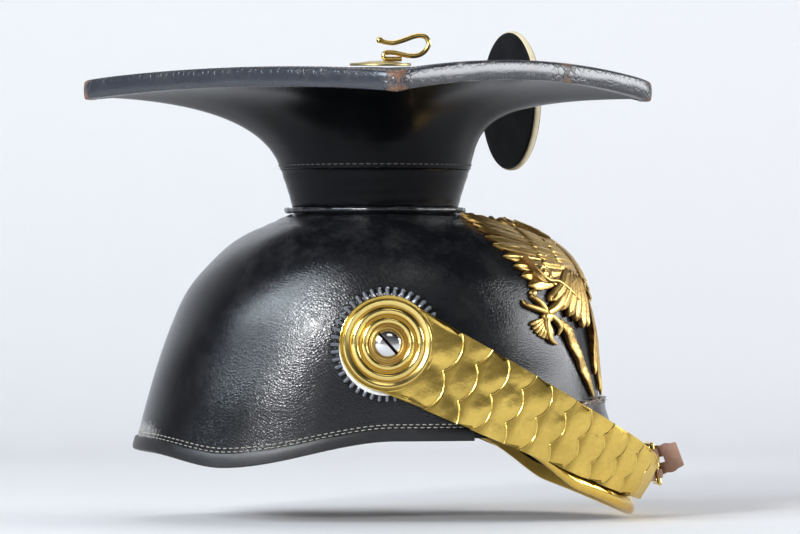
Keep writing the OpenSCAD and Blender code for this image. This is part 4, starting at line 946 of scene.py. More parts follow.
# Long wing feathers, fanned from the shoulder, and two rows of coverts over their roots
tips = [(62, 66), (55, 76), (48, 78.5), (42, 80), (35, 80.5), (29, 80), (22, 79), (16, 77), (9, 73.5),
        (3, 70), (-3, 68), (-9, 67)]
thigh = [(56, -21), (51, -27), (45, -31), (39, -34), (33, -38), (26, -38)]
wings = Relief()
for side in (-1, 1):
    fan(wings, side, tips, (10, 18), (30, -10), 9.5, (0.9, 1.2, 1.0), (0.5, 0.6, 0.5), 0.05, 0.7)
    fan(wings, side, even((60, 50), (-12, 52), 10), (8, 14), (27, -12), 8.5, (2.6, 3.0, 2.2), (0, 0.3, 0),
        0.06, 0.8)
    fan(wings, side, even((56, 33), (-20, 41), 9), (6, 10), (20, -10), 7.5, (3.6, 4.0, 3.4), (0, 0, 0),
        0.06, 0.9)
    # The bend of the wing: a curl and the rib that leads down from it
    wings.boss((side * 55, -4), 6.2, 3.2, 1.6, rings=2)
    wings.ridge([(side * 62, 9), (side * 60, -1), (side * 55, -9), (side * 47, -11), (side * 37, -20),
                 (side * 30, -27)], [0.5, 0.9, 0.9, 0.9, 0.9, 0.3], [4.2, 4.6, 4.6, 4.4, 4.2, 3.6], 0.9,
                n=40)
    # Feathers of the thigh hang below it
    for k, tip in enumerate(thigh):
        wings.feather((side * (34 - 2.5 * k), -3 - 1.5 * k), (side * tip[0], tip[1]), 7.2, [4.0, 3.4, 2.2],
                      -0.05 * side, dome=1.0)
# The plain ground, painted dark all over as tarnish and as the shade of the relief on it, and the two posts
# that hold the plate to the skull
post_y, post_up, post_r, post_in = 26, 0.45, 2, -16
ground_plate = Relief()
turns = np.radians(np.arange(0, 360, 3.0))
reach = 44 + 10 * np.abs(np.cos(turns)) - 16 * np.maximum(0, -np.sin(turns)) ** 2
rows = []
for q, h in ((0.03, 1.9), (0.4, 1.8), (0.8, 1.5), (1, 1.2), (1, 0.4), (0.5, 0.4), (0.03, 0.4)):
    rows.append(on_front(q * reach * np.cos(turns), q * reach * np.sin(turns), h))
ground_plate.add(np.stack(rows), np.ones((7, len(turns))), 7, len(turns))
for side in (-1, 1):
    post_dir = math.degrees(math.asin(post_y / (skull_side + side_swell))) * 1.1
    at = skin(post_dir, post_up, 0) * [1, side, 1]
    a = np.arange(12) * math.pi / 6
    ring = [[at + [x, r * math.cos(t), r * math.sin(t)] for t in a]
            for x, r in ((post_in, post_r - 0.1), (post_in + 0.2, post_r), (0.6, post_r))]
    ground_plate.add(np.array(ring), np.full((3, 12), 0.3), 3, 12)
ground_plate.made("eagle_ground", ["front_plate"])
wings.made("eagle_wings")

body = Relief()
body.ridge([(0, 30), (0, 20), (0, 6), (0, -10), (0, -26)], [5, 9, 14, 12, 6], [3.2, 4, 4.6, 4.2, 3], 2.6,
           n=44)
for k in range(9):
    b = 20 - 5.2 * k
    wide = 12.5 * math.sqrt(max(0.05, 1 - ((b - 3) / 32) ** 2))
    for j in range(-2, 3):
        a = j * wide / 2.6 + (wide / 5.2 if k % 2 else 0)
        rise = 5.6 - 1.7 * (a / 13) ** 2 - 0.8 * ((b - 3) / 24) ** 2
        body.feather((a, b + 4), (a * 1.06, b - 3), 4.6, [rise, rise + 0.4, rise + 0.7], barbs=0, dome=0.5)
for tip, root in (((0, -66), (0, -20)), ((8, -67), (3, -22)), ((-8, -67), (-3, -22)), ((16, -65), (6, -24)),
                  ((-16, -65), (-6, -24)), ((23, -59), (9, -26)), ((-23, -59), (-9, -26))):
    body.feather(root, tip, 7.5, [3.0, 2.2 + 0.05 * abs(tip[0]), 1.2], barbs=0.15)
for side in (-1, 1):
    # The scroll beside the tail
    scroll = [(53, -32), (48, -38), (45, -44), (42, -50), (39, -55), (36, -60), (31, -67)]
    body.ridge([(side * a, b) for a, b in scroll], [1.6, 2.8, 3.4, 2.6, 3.3, 2.4, 1.2],
               [1.4, 2.4, 1.4, 2.2, 1.2, 1.8, 1], 0.8, n=48, barbs=0.1, pitch=3.0)
    # Leg, toes and what the claw holds
    body.ridge([(side * 46, -20), (side * 54, -25), (side * 60, -27)], [3.4, 2.6, 2.2], [2.4, 2.6, 2.2],
               1.4)
    for toe in ([(60, -27), (63, -21), (66, -17), (64, -15)], [(60, -27), (66, -24), (71, -21), (72, -18)],
                [(59, -28), (55, -32), (53, -36), (55, -39)], [(60, -28), (62, -34), (61, -40), (57, -43)]):
        body.ridge([(side * a, b) for a, b in toe], [1.6, 1.3, 1.1, 0.4], [2.0, 2.4, 2.0, 1.2], 1.0, n=20)
    for k in range(7):
        a = math.radians(-12 - 13 * k)
        body.ridge([(side * (60 + 3 * math.cos(a)), -29 + 3 * math.sin(a)),
                    (side * (60 + 11 * math.cos(a)), -29 + 11 * math.sin(a))],
                   [0.5, 1.0, 1.3, 0.7], [1.4, 1.7, 1.3], 0.7, n=12)
    body.boss((side * 65, -15), 2.0, 1.6, 1.0)
    body.boss((side * 60, -29), 3.0, 2.0, 1.2)
# Neck, head, beak and crown
body.ridge([(0, 22), (-1, 30), (1, 37), (0, 43)], [6, 5, 4.6, 4.6], [4.6, 4.6, 4.4, 4.2], 2.4, n=30,
           barbs=0.16)
body.boss((-1, 46), 5.4, 3.2, 2.6)
body.ridge([(-3, 48), (-8, 48.5), (-11, 46), (-11.5, 42.5)], [2.4, 2.0, 1.3, 0.3], [3.6, 3.2, 2.6, 1.6],
           1.5)
body.boss((-3.5, 48), 1.0, 5.2, 0.7)
body.ridge([(-6, 52), (0, 53.5), (6, 52)], [1.2, 1.3, 1.2], [2.6, 3.4, 2.6], 0.9)
for k in range(-2, 3):
    body.ridge([(2.6 * k, 53), (3.4 * k, 57.5), (1.4 * k, 61)], [0.9, 1.1, 0.5], [2.2, 2.4, 1.6], 0.8, n=12)
body.boss((0, 61.5), 1.5, 1.6, 1.0)
body.made("eagle_body")

# ---------------------------------------------------------------- trim of the visor
# A strip of thin brass, spun into a channel and closed over the visor's edge: wide in front,
# narrow at the ends, with its upper edge rolled.
trim_w, trim_end_w = 9.0, 3.5
trim_brass = old_metal("trim_brass", (0.84, 0.56, 0.12), (0.4, 0.22, 0.045), 0.16, 0.28, depth=0.3,
                       low="shade_and_tarnish")
steps = 150
p = np.linspace(-visor_sweep + 4, visor_sweep - 4, steps)
g = visor_g(p)
drop = np.maximum(visor_drop * g, 4)
wide = np.minimum(mix(trim_end_w, trim_w, g), visor_drop * g * 0.8)
# Each point: share of the width up from the edge, mm down from there, mm off the inner face, swell in
# front, tarnish
turn = [(1, 0, 2.9, 0.35, 0.5), (1, -0.1, 3.3, 0.35, 0), (1, -0.4, 3.75, 0.35, 0), (1, -0.9, 3.8, 0.35, 0),
        (1, -1.5, 3.45, 0.4, 0.3), (0.75, 0, 3.35, 0.9, 0.1), (0.45, 0, 3.35, 1.2, 0),
        (0.2, 0, 3.25, 1.0, 0), (0.05, 0, 3.1, 0.5, 0), (0, -0.5, 2.7, 0, 0), (0, -0.95, 1.8, 0, 0),
        (0, -1.0, 0.9, 0, 0), (0, -0.8, -0.1, 0, 0), (0, -0.3, -0.75, 0, 0), (0.1, 0, -0.95, 0, 0.2),
        (0.5, 0, -0.9, 0, 0.3), (1, 0, -0.9, 0, 0.5), (1, 0, -0.2, 0, 1), (0.5, 0, -0.2, 0, 1),
        (0, -0.2, -0.1, 0, 1), (0, -0.2, 2.3, 0, 1), (0.5, 0, 2.5, 0.3, 1)]
ring = np.stack([visor_at(p, brass_at - (wide * f + h) / drop, d + swell * g)
                 for f, h, d, swell, _tarnish in turn], axis=1)
bar("brass_trim", ring, trim_brass, "cap", ["visor_trim"], "trim_brass",
    marks={"shade_and_tarnish": np.tile([0.55 * e[4] for e in turn], steps)})

# ---------------------------------------------------------------- side bosses: cockade, rosette, screw
# Under each rosette lies a cockade: a pressed black disc with a fluted rim round a pale ring.
# The rosette is spun brass, and one steel screw with a nut inside holds the pile together.
boss_z = 46.0
skull_y = max(float(bez(side_line, k / 40, 0)) for k in range(21))
hands = ((-1, "right"), (1, "left"))
between, cockade_t, flutes, lining_t, scale_t = 0.3, 4.0, 44, 2.0, 0.8
cockade_y = skull_y + between
lining_y = cockade_y + cockade_t + between
strap_y = lining_y + lining_t
head_y = strap_y + 1.8
rosette_y, rosette_r, rosette_h, shank_r = head_y + scale_t + 0.05, 21.5, 1.0, 3.0
# The disc sits a little forward and low, and the pale ring low, so that a crescent of it shows below the
# head plate as a painted highlight of the plate's turned edge
disc_off, highlight_ring_off = [0.5, 0, -0.4], [0.0, 0, -2.3]


def on_boss(side, r, turn, out):
    """A point round the boss screw of one side, out mm from the middle of the cap."""
    r, turn, out = alike(r, turn, out)
    return np.stack([r * np.cos(turn), side * out, boss_z + r * np.sin(turn)], -1)


def spin(name, side, profile, finish, body, stands_for, slot, n=144, marks=None, off=(0, 0, 0)):
    """A turned piece on the boss axis; its profile is a closed loop of radius and distance out."""
    a = round_steps(n)
    ring = np.stack([on_boss(side, r + 0 * a, a, o + 0 * a) for r, o in profile], axis=1) + list(off)
    mark = {"shade_and_tarnish": np.tile(marks, n)} if marks is not None else None
    return shell(name, ring, finish, body, stands_for, slot, flip=side > 0, sharp=45, marks=mark)


# Its bare colour is the grey-blue of a painted sheen on the ridges of the flutes
cockade_cloth = black_leather("cockade_black", (0.006, 0.006, 0.007), (0.15, 0.157, 0.175), 0.13,
                              pebbles=1600.0, depth=0.12, scuff=0.1, dusty=0.05, coat=0.5, sheen=0.8,
                              worn="wear_and_sheen")


def stained(name, clean, dirty, spots, dirt_from, gain, rough, fibre, drawn, strength, depth):
    """Pale cloth or card: dirt in patches, and a fine fibre that may be drawn out one way."""
    made, tree, shader = new_finish(name)
    where = on_object(tree)
    dark = times(tree, minus(tree, noise(tree, where, *spots), dirt_from), gain, clamp=True)
    tree.links.new(blend_colour(tree, dark, clean, dirty), shader.inputs["Base Color"])
    shader.inputs["Roughness"].default_value = rough
    along = put(tree, "Mapping", {"Vector": where, "Scale": drawn}).outputs[0]
    emboss(tree, shader, strength, depth, noise(tree, along, *fibre))
    return made


ring_cloth = stained("ring_pale", (0.8, 0.8, 0.76), (0.42, 0.4, 0.34), (120.0, 7.0, 0.7), 0.42, 2.6, 0.62,
                     (1400.0, 2.0), (1, 1, 1), 0.3, 0.0001)
rosette_brass = old_metal("rosette_brass", (0.98, 0.72, 0.24), (0.34, 0.19, 0.04), 0.16, 0.22, depth=0.22,
                          low="shade_and_tarnish")
# Its rings, from the edge in: a flat flange, a broad bead, a narrow one, and a cup round the screw
rosette = [(shank_r + 0.06, 0), (shank_r + 0.06, 0.9)]
for r in np.arange(4.2, rosette_r - 0.3, 0.18):
    h = 1.0 + 0.8 * float(smooth(17.6, 20.6, r)) - 0.35 * float(smooth(20.9, rosette_r, r))
    for mid, lift, bead in ((15.9, -0.3, 2.1), (11.3, 0.1, 1.75), (7.6, -0.35, 1.0)):
        if abs(r - mid) < bead:
            h = max(h, 1.0 + lift + math.sqrt(bead**2 - (r - mid) ** 2))
    rosette.append((float(r), h))
rosette += [(rosette_r - 0.12, 1.3), (rosette_r, 0.9), (rosette_r - 0.02, 0.35), (rosette_r - 0.25, 0.0)]
# Darker in the grooves between the beads and in the cup round the screw: tarnish in the cup, and painted
# shade in the grooves
low = [min(1, 0.6 * (1.25 > h and 9 < r < 20) + 0.75 * (r < 9.6) + 0.3 * (18.1 < r < 19))
       for r, h in rosette]

for side, hand in hands:
    n = flutes * 12
    a = round_steps(n)
    saw = np.abs(((a * flutes / (2 * math.pi)) % 1) * 2 - 1)
    rows = [(3.4, 0.0, 0, 0), (3.4, 2.4, 0, 0), (18, 2.4, 0, 0), (21.6, 2.6, 0, 0), (22.6, 3.3, 0.5, 0),
            (24.2, 3.75, 1.3, 0.1), (25.8, 3.9, 1.9, 0.3), (27.2, 3.5, 2.0, 0.8), (27.7, 2.7, 1.6, 1.0),
            (27.3, 1.5, 0.8, 1.0), (27.0, 0.3, 0.2, 1.0), (26.5, 0.0, 0, 0)]
    ring = np.stack([on_boss(side, r + reach * (saw * 1.4 - 0.8), a, cockade_y + h - drop * (1 - saw))
                     + disc_off for r, h, drop, reach in rows], axis=1)
    # Painted sheen: the ridges of the flutes are painted grey-blue, as the shine they catch
    painted_ridge_sheen = np.outer(smooth(0.35, 0.6, saw),
                      [0.66 * (22 < r < 27.6 and h > 2) for r, h, drop, reach in rows])
    shell(f"cockade_disc_{hand}", ring, cockade_cloth, "cap", [f"cockade_{hand}"], "cockade_black",
          flip=side > 0, sharp=20, marks={"wear_and_sheen": painted_ridge_sheen})
    profile = [(18.8, cockade_y + 2.4), (18.8, cockade_y + 3.6), (19.6, cockade_y + 3.98),
               (22.0, cockade_y + 3.98), (22.75, cockade_y + 3.7), (22.85, cockade_y + 2.5)]
    # The pale ring, shifted low: its crescent below the head plate is a painted highlight
    spin(f"pale_ring_{hand}", side, profile, ring_cloth, "cap", ["cockade_rings"] if side < 0 else (),
         "cockade_pale", off=highlight_ring_off)
    spin(f"rosette_face_{hand}", side, [(r, rosette_y + h) for r, h in rosette], rosette_brass,
         f"strap_{hand}", [f"rosette_{hand}"], "polished_brass", marks=low, n=180)


def dress(finish, *nodes):
    """Give nodes of the model a better material."""
    for node in nodes:
        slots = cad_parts[node].data.materials
        for k in range(len(slots)):
            slots[k] = finish


def steel(name, colour, rough, rust):
    made, tree, shader = new_finish(name)
    where = on_object(tree)
    spots = noise(tree, where, 260.0, 8.0, 0.7)
    aged = times(tree, minus(tree, spots, 0.62 - rust), 5.0, clamp=True)
    # Where the mark is high the steel is painted near black and rougher: a painted shadow, used in the
    # screws' slots
    low = marked(tree, "shade_and_tarnish")
    shown = blend_colour(tree, aged, colour, (0.16, 0.13, 0.11))
    tree.links.new(blend_colour(tree, low, shown, (0.012, 0.01, 0.009)), shader.inputs["Base Color"])
    shader.inputs["Metallic"].default_value = 1
    marks_out = use(tree, scuffs, Amount=0.6, Scale=150.0)
    roughen(tree, shader, rough, (marks_out["Mask"], 0.18), (low, 0.4), (aged, 0.3))
    emboss(tree, shader, 0.15, 0.0002, marks_out["Mask"])
    return made


bright_steel = steel("bright_steel", (0.8, 0.8, 0.8), 0.16, 0.02)
# Each screw: a domed head with a driver's slot cut across it, and a shank to its nut inside; the slot's
# floor is painted dark as its shadow
points, faces, dark = [], [], []
screw_y, screw_in, screw_r, slot = rosette_y + rosette_h + 0.1, skull_y - hide - 7.8, 6.6, 0.72
slot_turn, slot_floor, head_rim, head_dome, cols, shank_n = math.radians(-48), 0.55, 0.5, 2.5, 33, 24
across = np.concatenate([np.linspace(-screw_r * 0.995, -slot - 0.12, 14),
                         [-slot, -slot + 0.03, -slot / 2, 0]])
across = np.concatenate([across, -across[:-1][::-1]])
for side in (-1, 1):
    start = len(points)
    for u in across:
        reach = math.sqrt(screw_r**2 - u * u)
        for v in np.linspace(-1, 1, cols):
            r = math.hypot(u, v * reach)
            top = slot_floor
            if abs(u) >= slot:
                top = head_rim + head_dome * math.sqrt(max(0.0, 1 - (r / screw_r) ** 2.4))
            x = v * reach * math.cos(slot_turn) - u * math.sin(slot_turn)
            z = v * reach * math.sin(slot_turn) + u * math.cos(slot_turn)
            points.append([x, side * (screw_y + top), boss_z + z])
            dark.append(abs(u) <= slot)
    faces += loft_faces(len(across), cols, start=start, flip=side < 0)
    rim = [start + i for i in range(cols)] + [start + k * cols + cols - 1 for k in range(1, len(across))]
    rim += [start + (len(across) - 1) * cols + i for i in range(cols - 2, -1, -1)]
    rim += [start + k * cols for k in range(len(across) - 2, 0, -1)]
    base = len(points)
    for k in rim:
        points.append([points[k][0], side * screw_y, points[k][2]])
    for k in range(len(rim)):
        n = (k + 1) % len(rim)
        quad = (rim[k], rim[n], base + n, base + k)
        faces.append(quad if side > 0 else quad[::-1])
    faces.append(tuple(range(base, base + len(rim)))[::side])
    start = len(points)
    for out in (screw_in, screw_y + 0.1):
        points += list(on_boss(side, shank_r, np.arange(shank_n) * math.pi / 12, out))
    faces += loft_faces(2, shank_n, False, True, start=start, flip=side > 0)
    faces += row_ends(2, shank_n, start, flip=side < 0)
    dark += [0] * (len(points) - len(dark))
piece("screws", points, faces, bright_steel, "cap", ["boss_screws"], "steel", sharp=30,
      marks={"shade_and_tarnish": dark})
dress(steel("grey_steel", (0.45, 0.45, 0.44), 0.38, 0.12), "boss_washers", "boss_nuts")
plain_brass = old_metal("plain_brass", (0.85, 0.62, 0.2), (0.3, 0.2, 0.06), 0.22, 0.3, depth=0.2)
dull_brass = old_metal("dull_brass", (0.5, 0.4, 0.18), (0.16, 0.12, 0.06), 0.4, 0.5, depth=0.3)
dress(plain_brass, "plate_nuts")

# ---------------------------------------------------------------- chin scales
# Each string is a leather lining that carries overlapping brass scales. Each scale is stamped
# with two or three domed lobes and a raised bright rim, and lies on the root of the next. The
# head plate turns under the rosette; the end plate is plain.
strap_reach, strap_r2, strap_flat, drop = 153.5, 75.0, 24.0, math.radians(26.3)
scale_n, pitch, first_tip, scale_lap, end_len = 10, 12.7, 34.5, 4.5, 19.0
scale_w, scale_end_w, scale_crown, scale_seat, head_r = 41.0, 23.0, 1.2, 0.2, 23.2
# A lobe's depth as a share of half its width, and how far in from the lobed edge its rim begins
lobe_bow, rim_in = 0.43, 2.4
run = strap_reach - strap_flat
strap_r1 = ((run - strap_r2) ** 2 + strap_y**2 - strap_r2**2) / (2 * (strap_y - strap_r2))
turn_1 = math.atan2(run - strap_r2, strap_r1 - strap_y)
len_1 = strap_r1 * turn_1
end_tip = first_tip + scale_n * pitch + end_len


def strap_turn(s):
    if s < strap_flat:
        return 0.0
    if s < strap_flat + len_1:
        return (s - strap_flat) / strap_r1
    return turn_1 + (s - strap_flat - len_1) / strap_r2


def strap_at(s, h):
    """A point s mm along the strap and h mm off its lining: reach and depth in the strap's plane."""
    a = strap_turn(s)
    if s < strap_flat:
        return np.array([s, -strap_y - h])
    if s < strap_flat + len_1:
        return np.array([strap_flat + (strap_r1 + h) * math.sin(a),
                         strap_r1 - strap_y - (strap_r1 + h) * math.cos(a)])
    return np.array([strap_reach - strap_r2 + (strap_r2 + h) * math.sin(a), -(strap_r2 + h) * math.cos(a)])


def scale_half(s):
    return mix(scale_w, scale_end_w, min(1, max(0, (s - first_tip) / (end_tip - first_tip)))) / 2


def hang(side, p):
    """From the strap's own plane to the cap: the strap hangs down in front of the boss."""
    p = np.asarray(p, float)
    c, s = math.cos(drop), math.sin(drop)
    return np.stack([p[..., 0] * c + p[..., 2] * s, -side * p[..., 1] if side > 0 else p[..., 1],
                     boss_z - p[..., 0] * s + p[..., 2] * c], -1)


def scale_root(i):
    return first_tip + (i - 2) * pitch - scale_lap


def scale_tip(i):
    return first_tip + min(i - 1, scale_n) * pitch + (end_len if i == scale_n + 2 else 0)


def scale_bow(i):
    length = scale_tip(i) - scale_root(i)
    mid = scale_root(i) + length / 2
    return length**2 / (8 * (strap_r1 if mid < strap_flat + len_1 else strap_r2))


def crown_at(i):
    return scale_crown * min(1, (i - 2) / 3)


def scale_rise(i):
    dip = pitch * scale_lap / (2 * (strap_r1 if scale_tip(i) < strap_flat + len_1 else strap_r2))
    more = max(0, scale_bow(i + 1) - scale_bow(i)) + crown_at(i + 1) - crown_at(i)
    return (scale_t + scale_seat + dip + more) * (pitch + scale_lap) / pitch


scale_brass = old_metal("scale_brass", (0.9, 0.63, 0.15), (0.2, 0.12, 0.02), 0.17, 0.42, depth=0.8,
                        low="shade_and_tarnish", blotch=42.0)


def lay(side, a, b, x, y, h):
    """Points of a scale that lies from a to b: x along it, y across it, h off it."""
    ahead = (b - a) / float(np.linalg.norm(b - a))
    out = np.array([ahead[1], -ahead[0]])
    flat = a + ahead * x[..., None] + out * h[..., None]
    return hang(side, np.concatenate([flat, y[..., None]], -1))


def lobed(side, i):
    """One scale as a grid: columns run across it, rows from its root to its lobes and back underneath."""
    head = i == 1
    three = i % 2 == 0
    if head:
        a, b = np.array([7.0, -head_y]), np.array([first_tip, -head_y])
        half_root, crown = 22.1, 0.0
    else:
        a = strap_at(scale_root(i), scale_seat + scale_bow(i))
        b = strap_at(scale_tip(i), scale_seat + scale_bow(i) + scale_rise(i))
        half_root, crown = scale_half(scale_root(i)), crown_at(i)
    half = scale_half(first_tip if head else scale_tip(i))
    length = float(np.linalg.norm(b - a))
    # Each lobe is a shallow bow: w is half its width, deep its depth, r the radius of its edge
    w = half / 2
    deep = lobe_bow * w
    r = (w * w + deep * deep) / (2 * deep)
    span = math.degrees(math.asin(w / r))
    arcs = [(-w, -span, span), (w, -span, span)]
    if three:
        arcs = [(-half, 0, span), (0, -span, span), (half, -span, 0)]
    centre, turn = [], []
    for c, lo, hi in arcs:
        n = 25 if lo * hi else 13
        centre += [c] * n
        turn += list(np.radians(np.linspace(lo, hi, n)))
    centre, turn = np.array(centre), np.array(turn)

    def edge(inset):
        return (length - r) + (r - inset) * np.cos(turn), centre + (r - inset) * np.sin(turn)

    rows, foot = [], -1.0 if not head else 0.0
    spread = np.linspace(-1, 1, len(centre))
    for f in np.linspace(0, 1, 12)[:-1]:
        x1, y1 = edge(rim_in)
        y0 = spread * half_root
        rows.append((mix(foot, x1, f), mix(y0, y1, f**1.5)))
    for inset in (rim_in, 1.9, 1.4, 1.0, 0.75, 0.55, 0.4, 0.25, 0.12, 0.0):
        rows.append(edge(inset))
    x = np.stack([e[0] * np.ones(len(centre)) for e in rows])
    y = np.clip(np.stack([e[1] for e in rows]), -half_root, half_root)
    # Height: the crown across, a low dome in each lobe, and the rim bead along the lobed edge
    wide = np.maximum(np.abs(y).max(axis=1, keepdims=True), half)
    from_edge = np.maximum(0, r - np.sqrt((np.maximum(0, x - (length - r))) ** 2 + (y - centre) ** 2))
    fade = smooth(0.1, 0.7, x / length)
    h = crown * (1 - (np.abs(y) / wide) ** 1.6) + scale_t
    swell = 1 - np.minimum(1, np.abs(y - centre) / w) ** 2
    h = h + 0.5 * fade * swell * (0.35 + 0.65 * smooth(0, 4, from_edge)) - 0.1 * fade
    bead = hump(from_edge, 0.38, 0.2) * (x > length - r - 0.5)
    h = h + 0.24 * bead - 0.3 * (from_edge < 0.1) * (x > length - r - 0.5)
    if head:
        h = h + 0.5 * hump(wide - np.abs(y), 0.7, 0.5) * (1 - smooth(0.75, 0.95, x / length))
    h = h + 0.1 * np.sin(x * 0.5 + i * 2.1) * np.sin(y * 0.45 + i) * fade
    under = [len(rows) - 1, len(rows) - 4, 5, 0]
    xs = np.concatenate([x, x[under]])
    hs = np.concatenate([h, crown * (1 - (np.abs(y[under]) / wide[under]) ** 1.6)])
    points = lay(side, a, b, xs, np.concatenate([y, y[under]]), hs)
    # Painted shade with tarnish: darker at the root, which lies under the scale before, in a line along the
    # lobed edge and underneath; the bead stays bright
    valley = 0.32 * hump(from_edge, 0, 1.2) * (1 - bead)
    valley = valley + 0.5 * (1 - smooth(0.2, 0.45, x / length)) + 0.12
    mark = np.concatenate([np.clip(valley - 0.7 * bead, 0, 1), np.full((4, len(centre)), 0.6)])
    n, cols = xs.shape
    return points, loft_faces(n, cols, True, False, flip=side > 0) + col_ends(n, cols), mark


for side, hand in hands:
    for i in range(1, scale_n + 2):
        points, faces, mark = lobed(side, i)
        piece(f"chin_scale_{hand}_{i}", points, faces, scale_brass, f"strap_{hand}", [f"scale_{hand}_{i}"],
              "polished_brass", sharp=40, marks={"shade_and_tarnish": mark})
    # The round end of the head plate
    profile = [(shank_r + 0.1, head_y), (head_r - 0.1, head_y), (head_r + 0.05, head_y + 0.3),
               (head_r - 0.1, head_y + 0.85), (head_r - 0.5, head_y + 1.0), (head_r - 0.95, head_y + 0.8),
               (head_r - 1.6, head_y + scale_t), (shank_r + 0.1, head_y + scale_t)]
    # Its underside and the part under the rosette are painted darker: tarnish with painted shade
    spin(f"head_round_{hand}", side, profile, scale_brass, f"strap_{hand}", (), "polished_brass",
         marks=[0.5, 0.5, 0.2, 0, 0, 0.4, 0.6, 0.6])
    # The plain end plate
    i = scale_n + 2
    a = strap_at(scale_root(i), scale_seat + scale_bow(i))
    b = strap_at(scale_tip(i), scale_seat + scale_bow(i) + 0.9)
    length = float(np.linalg.norm(b - a))
    n, cols, wall_n = 60, 33, 3
    f, v = np.meshgrid(np.linspace(0, 1, n), np.linspace(-1, 1, cols), indexing="ij")
    half = mix(scale_half(scale_root(i)), scale_half(scale_tip(i)), f)
    x = mix(-1, length, f) - 1.6 * smooth(0.88, 1, np.abs(v)) ** 2 * smooth(0.85, 1, f)
    h = scale_t + scale_crown * (1 - np.abs(v) ** 1.25) + 0.25 * hump(length - x, 0.8, 0.45)
    h += 0.22 * np.exp(-(((1 - np.abs(v)) * half - 0.6) / 0.4) ** 2)
    dent = 0.13 * np.sin(2.2 * np.hypot(x - 4, v * half - 6))
    h += dent * smooth(0.1, 0.4, f) * (1 - smooth(0.7, 0.95, f))
    y, under = v * half, [-1, n // 2, 0]
    hs = np.concatenate([h, scale_crown * (1 - np.abs(v[under]) ** 1.25)])
    points = lay(side, a, b, np.concatenate([x, x[under]]), np.concatenate([y, y[under]]), hs)
    faces = loft_faces(n + wall_n, cols, True, False, flip=side > 0) + col_ends(n + wall_n, cols)
    # Painted shade with tarnish: darker at the root under the last scale, a little at the tip, and
    # underneath
    mark = np.concatenate([0.5 * (1 - smooth(0.15, 0.35, f)) + 0.2 * (f > 0.9),
                           np.full((wall_n, cols), 0.6)])
    piece(f"end_plate_{hand}", points, faces, scale_brass, f"strap_{hand}", [f"scale_{hand}_{i}"],
          "polished_brass", sharp=40, marks={"shade_and_tarnish": mark})

# ---------------------------------------------------------------- linings, buckle and billet
# The linings are dark oiled leather, skived at the edges and sewn round. The right one ends in a
# loop that holds a brass wire buckle; the left one in a billet, worn grey where it is pulled
# through, with a slot for the prong.
lining_leather = black_leather("lining_leather", (0.05, 0.03, 0.02), (0.2, 0.13, 0.08), 0.5, pebbles=800.0,
                               depth=0.35, scuff=0.5, dusty=0.3)
worn_leather = black_leather("worn_leather", (0.32, 0.18, 0.125), (0.5, 0.37, 0.28), 0.55, pebbles=900.0,
                             depth=0.5, scuff=0.9, dusty=0.5)


def ribbon(mids, wides, half, thick, hole=None, cols=9):
    """A strip of leather as a grid: mids is its middle line, wides the direction across it at each station.
    hole leaves out rows and columns from, to (rows first) and walls the opening."""
    n = len(mids)
    ahead = unit(np.gradient(mids, axis=0))
    out = unit(np.cross(wides, ahead))
    across = np.cross(ahead, out)
    half = np.broadcast_to(half, n)
    v = np.linspace(-1, 1, cols)
    round_off = np.sqrt(np.maximum(0.1, 1 - np.abs(v) ** 10))
    spot = mids[:, None, :] + across[:, None, :] * (half[:, None] * v[None, :])[..., None]
    lift = out[:, None, :] * (thick / 2 * round_off)[None, :, None]
    points = np.concatenate([(spot + lift).reshape(-1, 3), (spot - lift).reshape(-1, 3)])
    faces, low = [], n * cols
    for j in range(n - 1):
        for i in range(cols - 1):
            if hole and hole[0] <= j < hole[1] and hole[2] <= i < hole[3]:
                continue
            a, b, c, d = j * cols + i, j * cols + i + 1, (j + 1) * cols + i + 1, (j + 1) * cols + i
            faces += [(a, b, c, d), (low + a, low + d, low + c, low + b)]

    def wall(p, q):
        faces.append((q, p, low + p, low + q))

    for j in range(n - 1):
        wall((j + 1) * cols, j * cols)
        wall(j * cols + cols - 1, (j + 1) * cols + cols - 1)
    for i in range(cols - 1):
        wall(i, i + 1)
        wall((n - 1) * cols + i + 1, (n - 1) * cols + i)
    if hole:
        for j in range(hole[0], hole[1]):
            wall(j * cols + hole[2], (j + 1) * cols + hole[2])
            wall((j + 1) * cols + hole[3], j * cols + hole[3])
        for i in range(hole[2], hole[3]):
            wall(hole[0] * cols + i + 1, hole[0] * cols + i)
            wall(hole[1] * cols + i, hole[1] * cols + i + 1)
    return points, faces


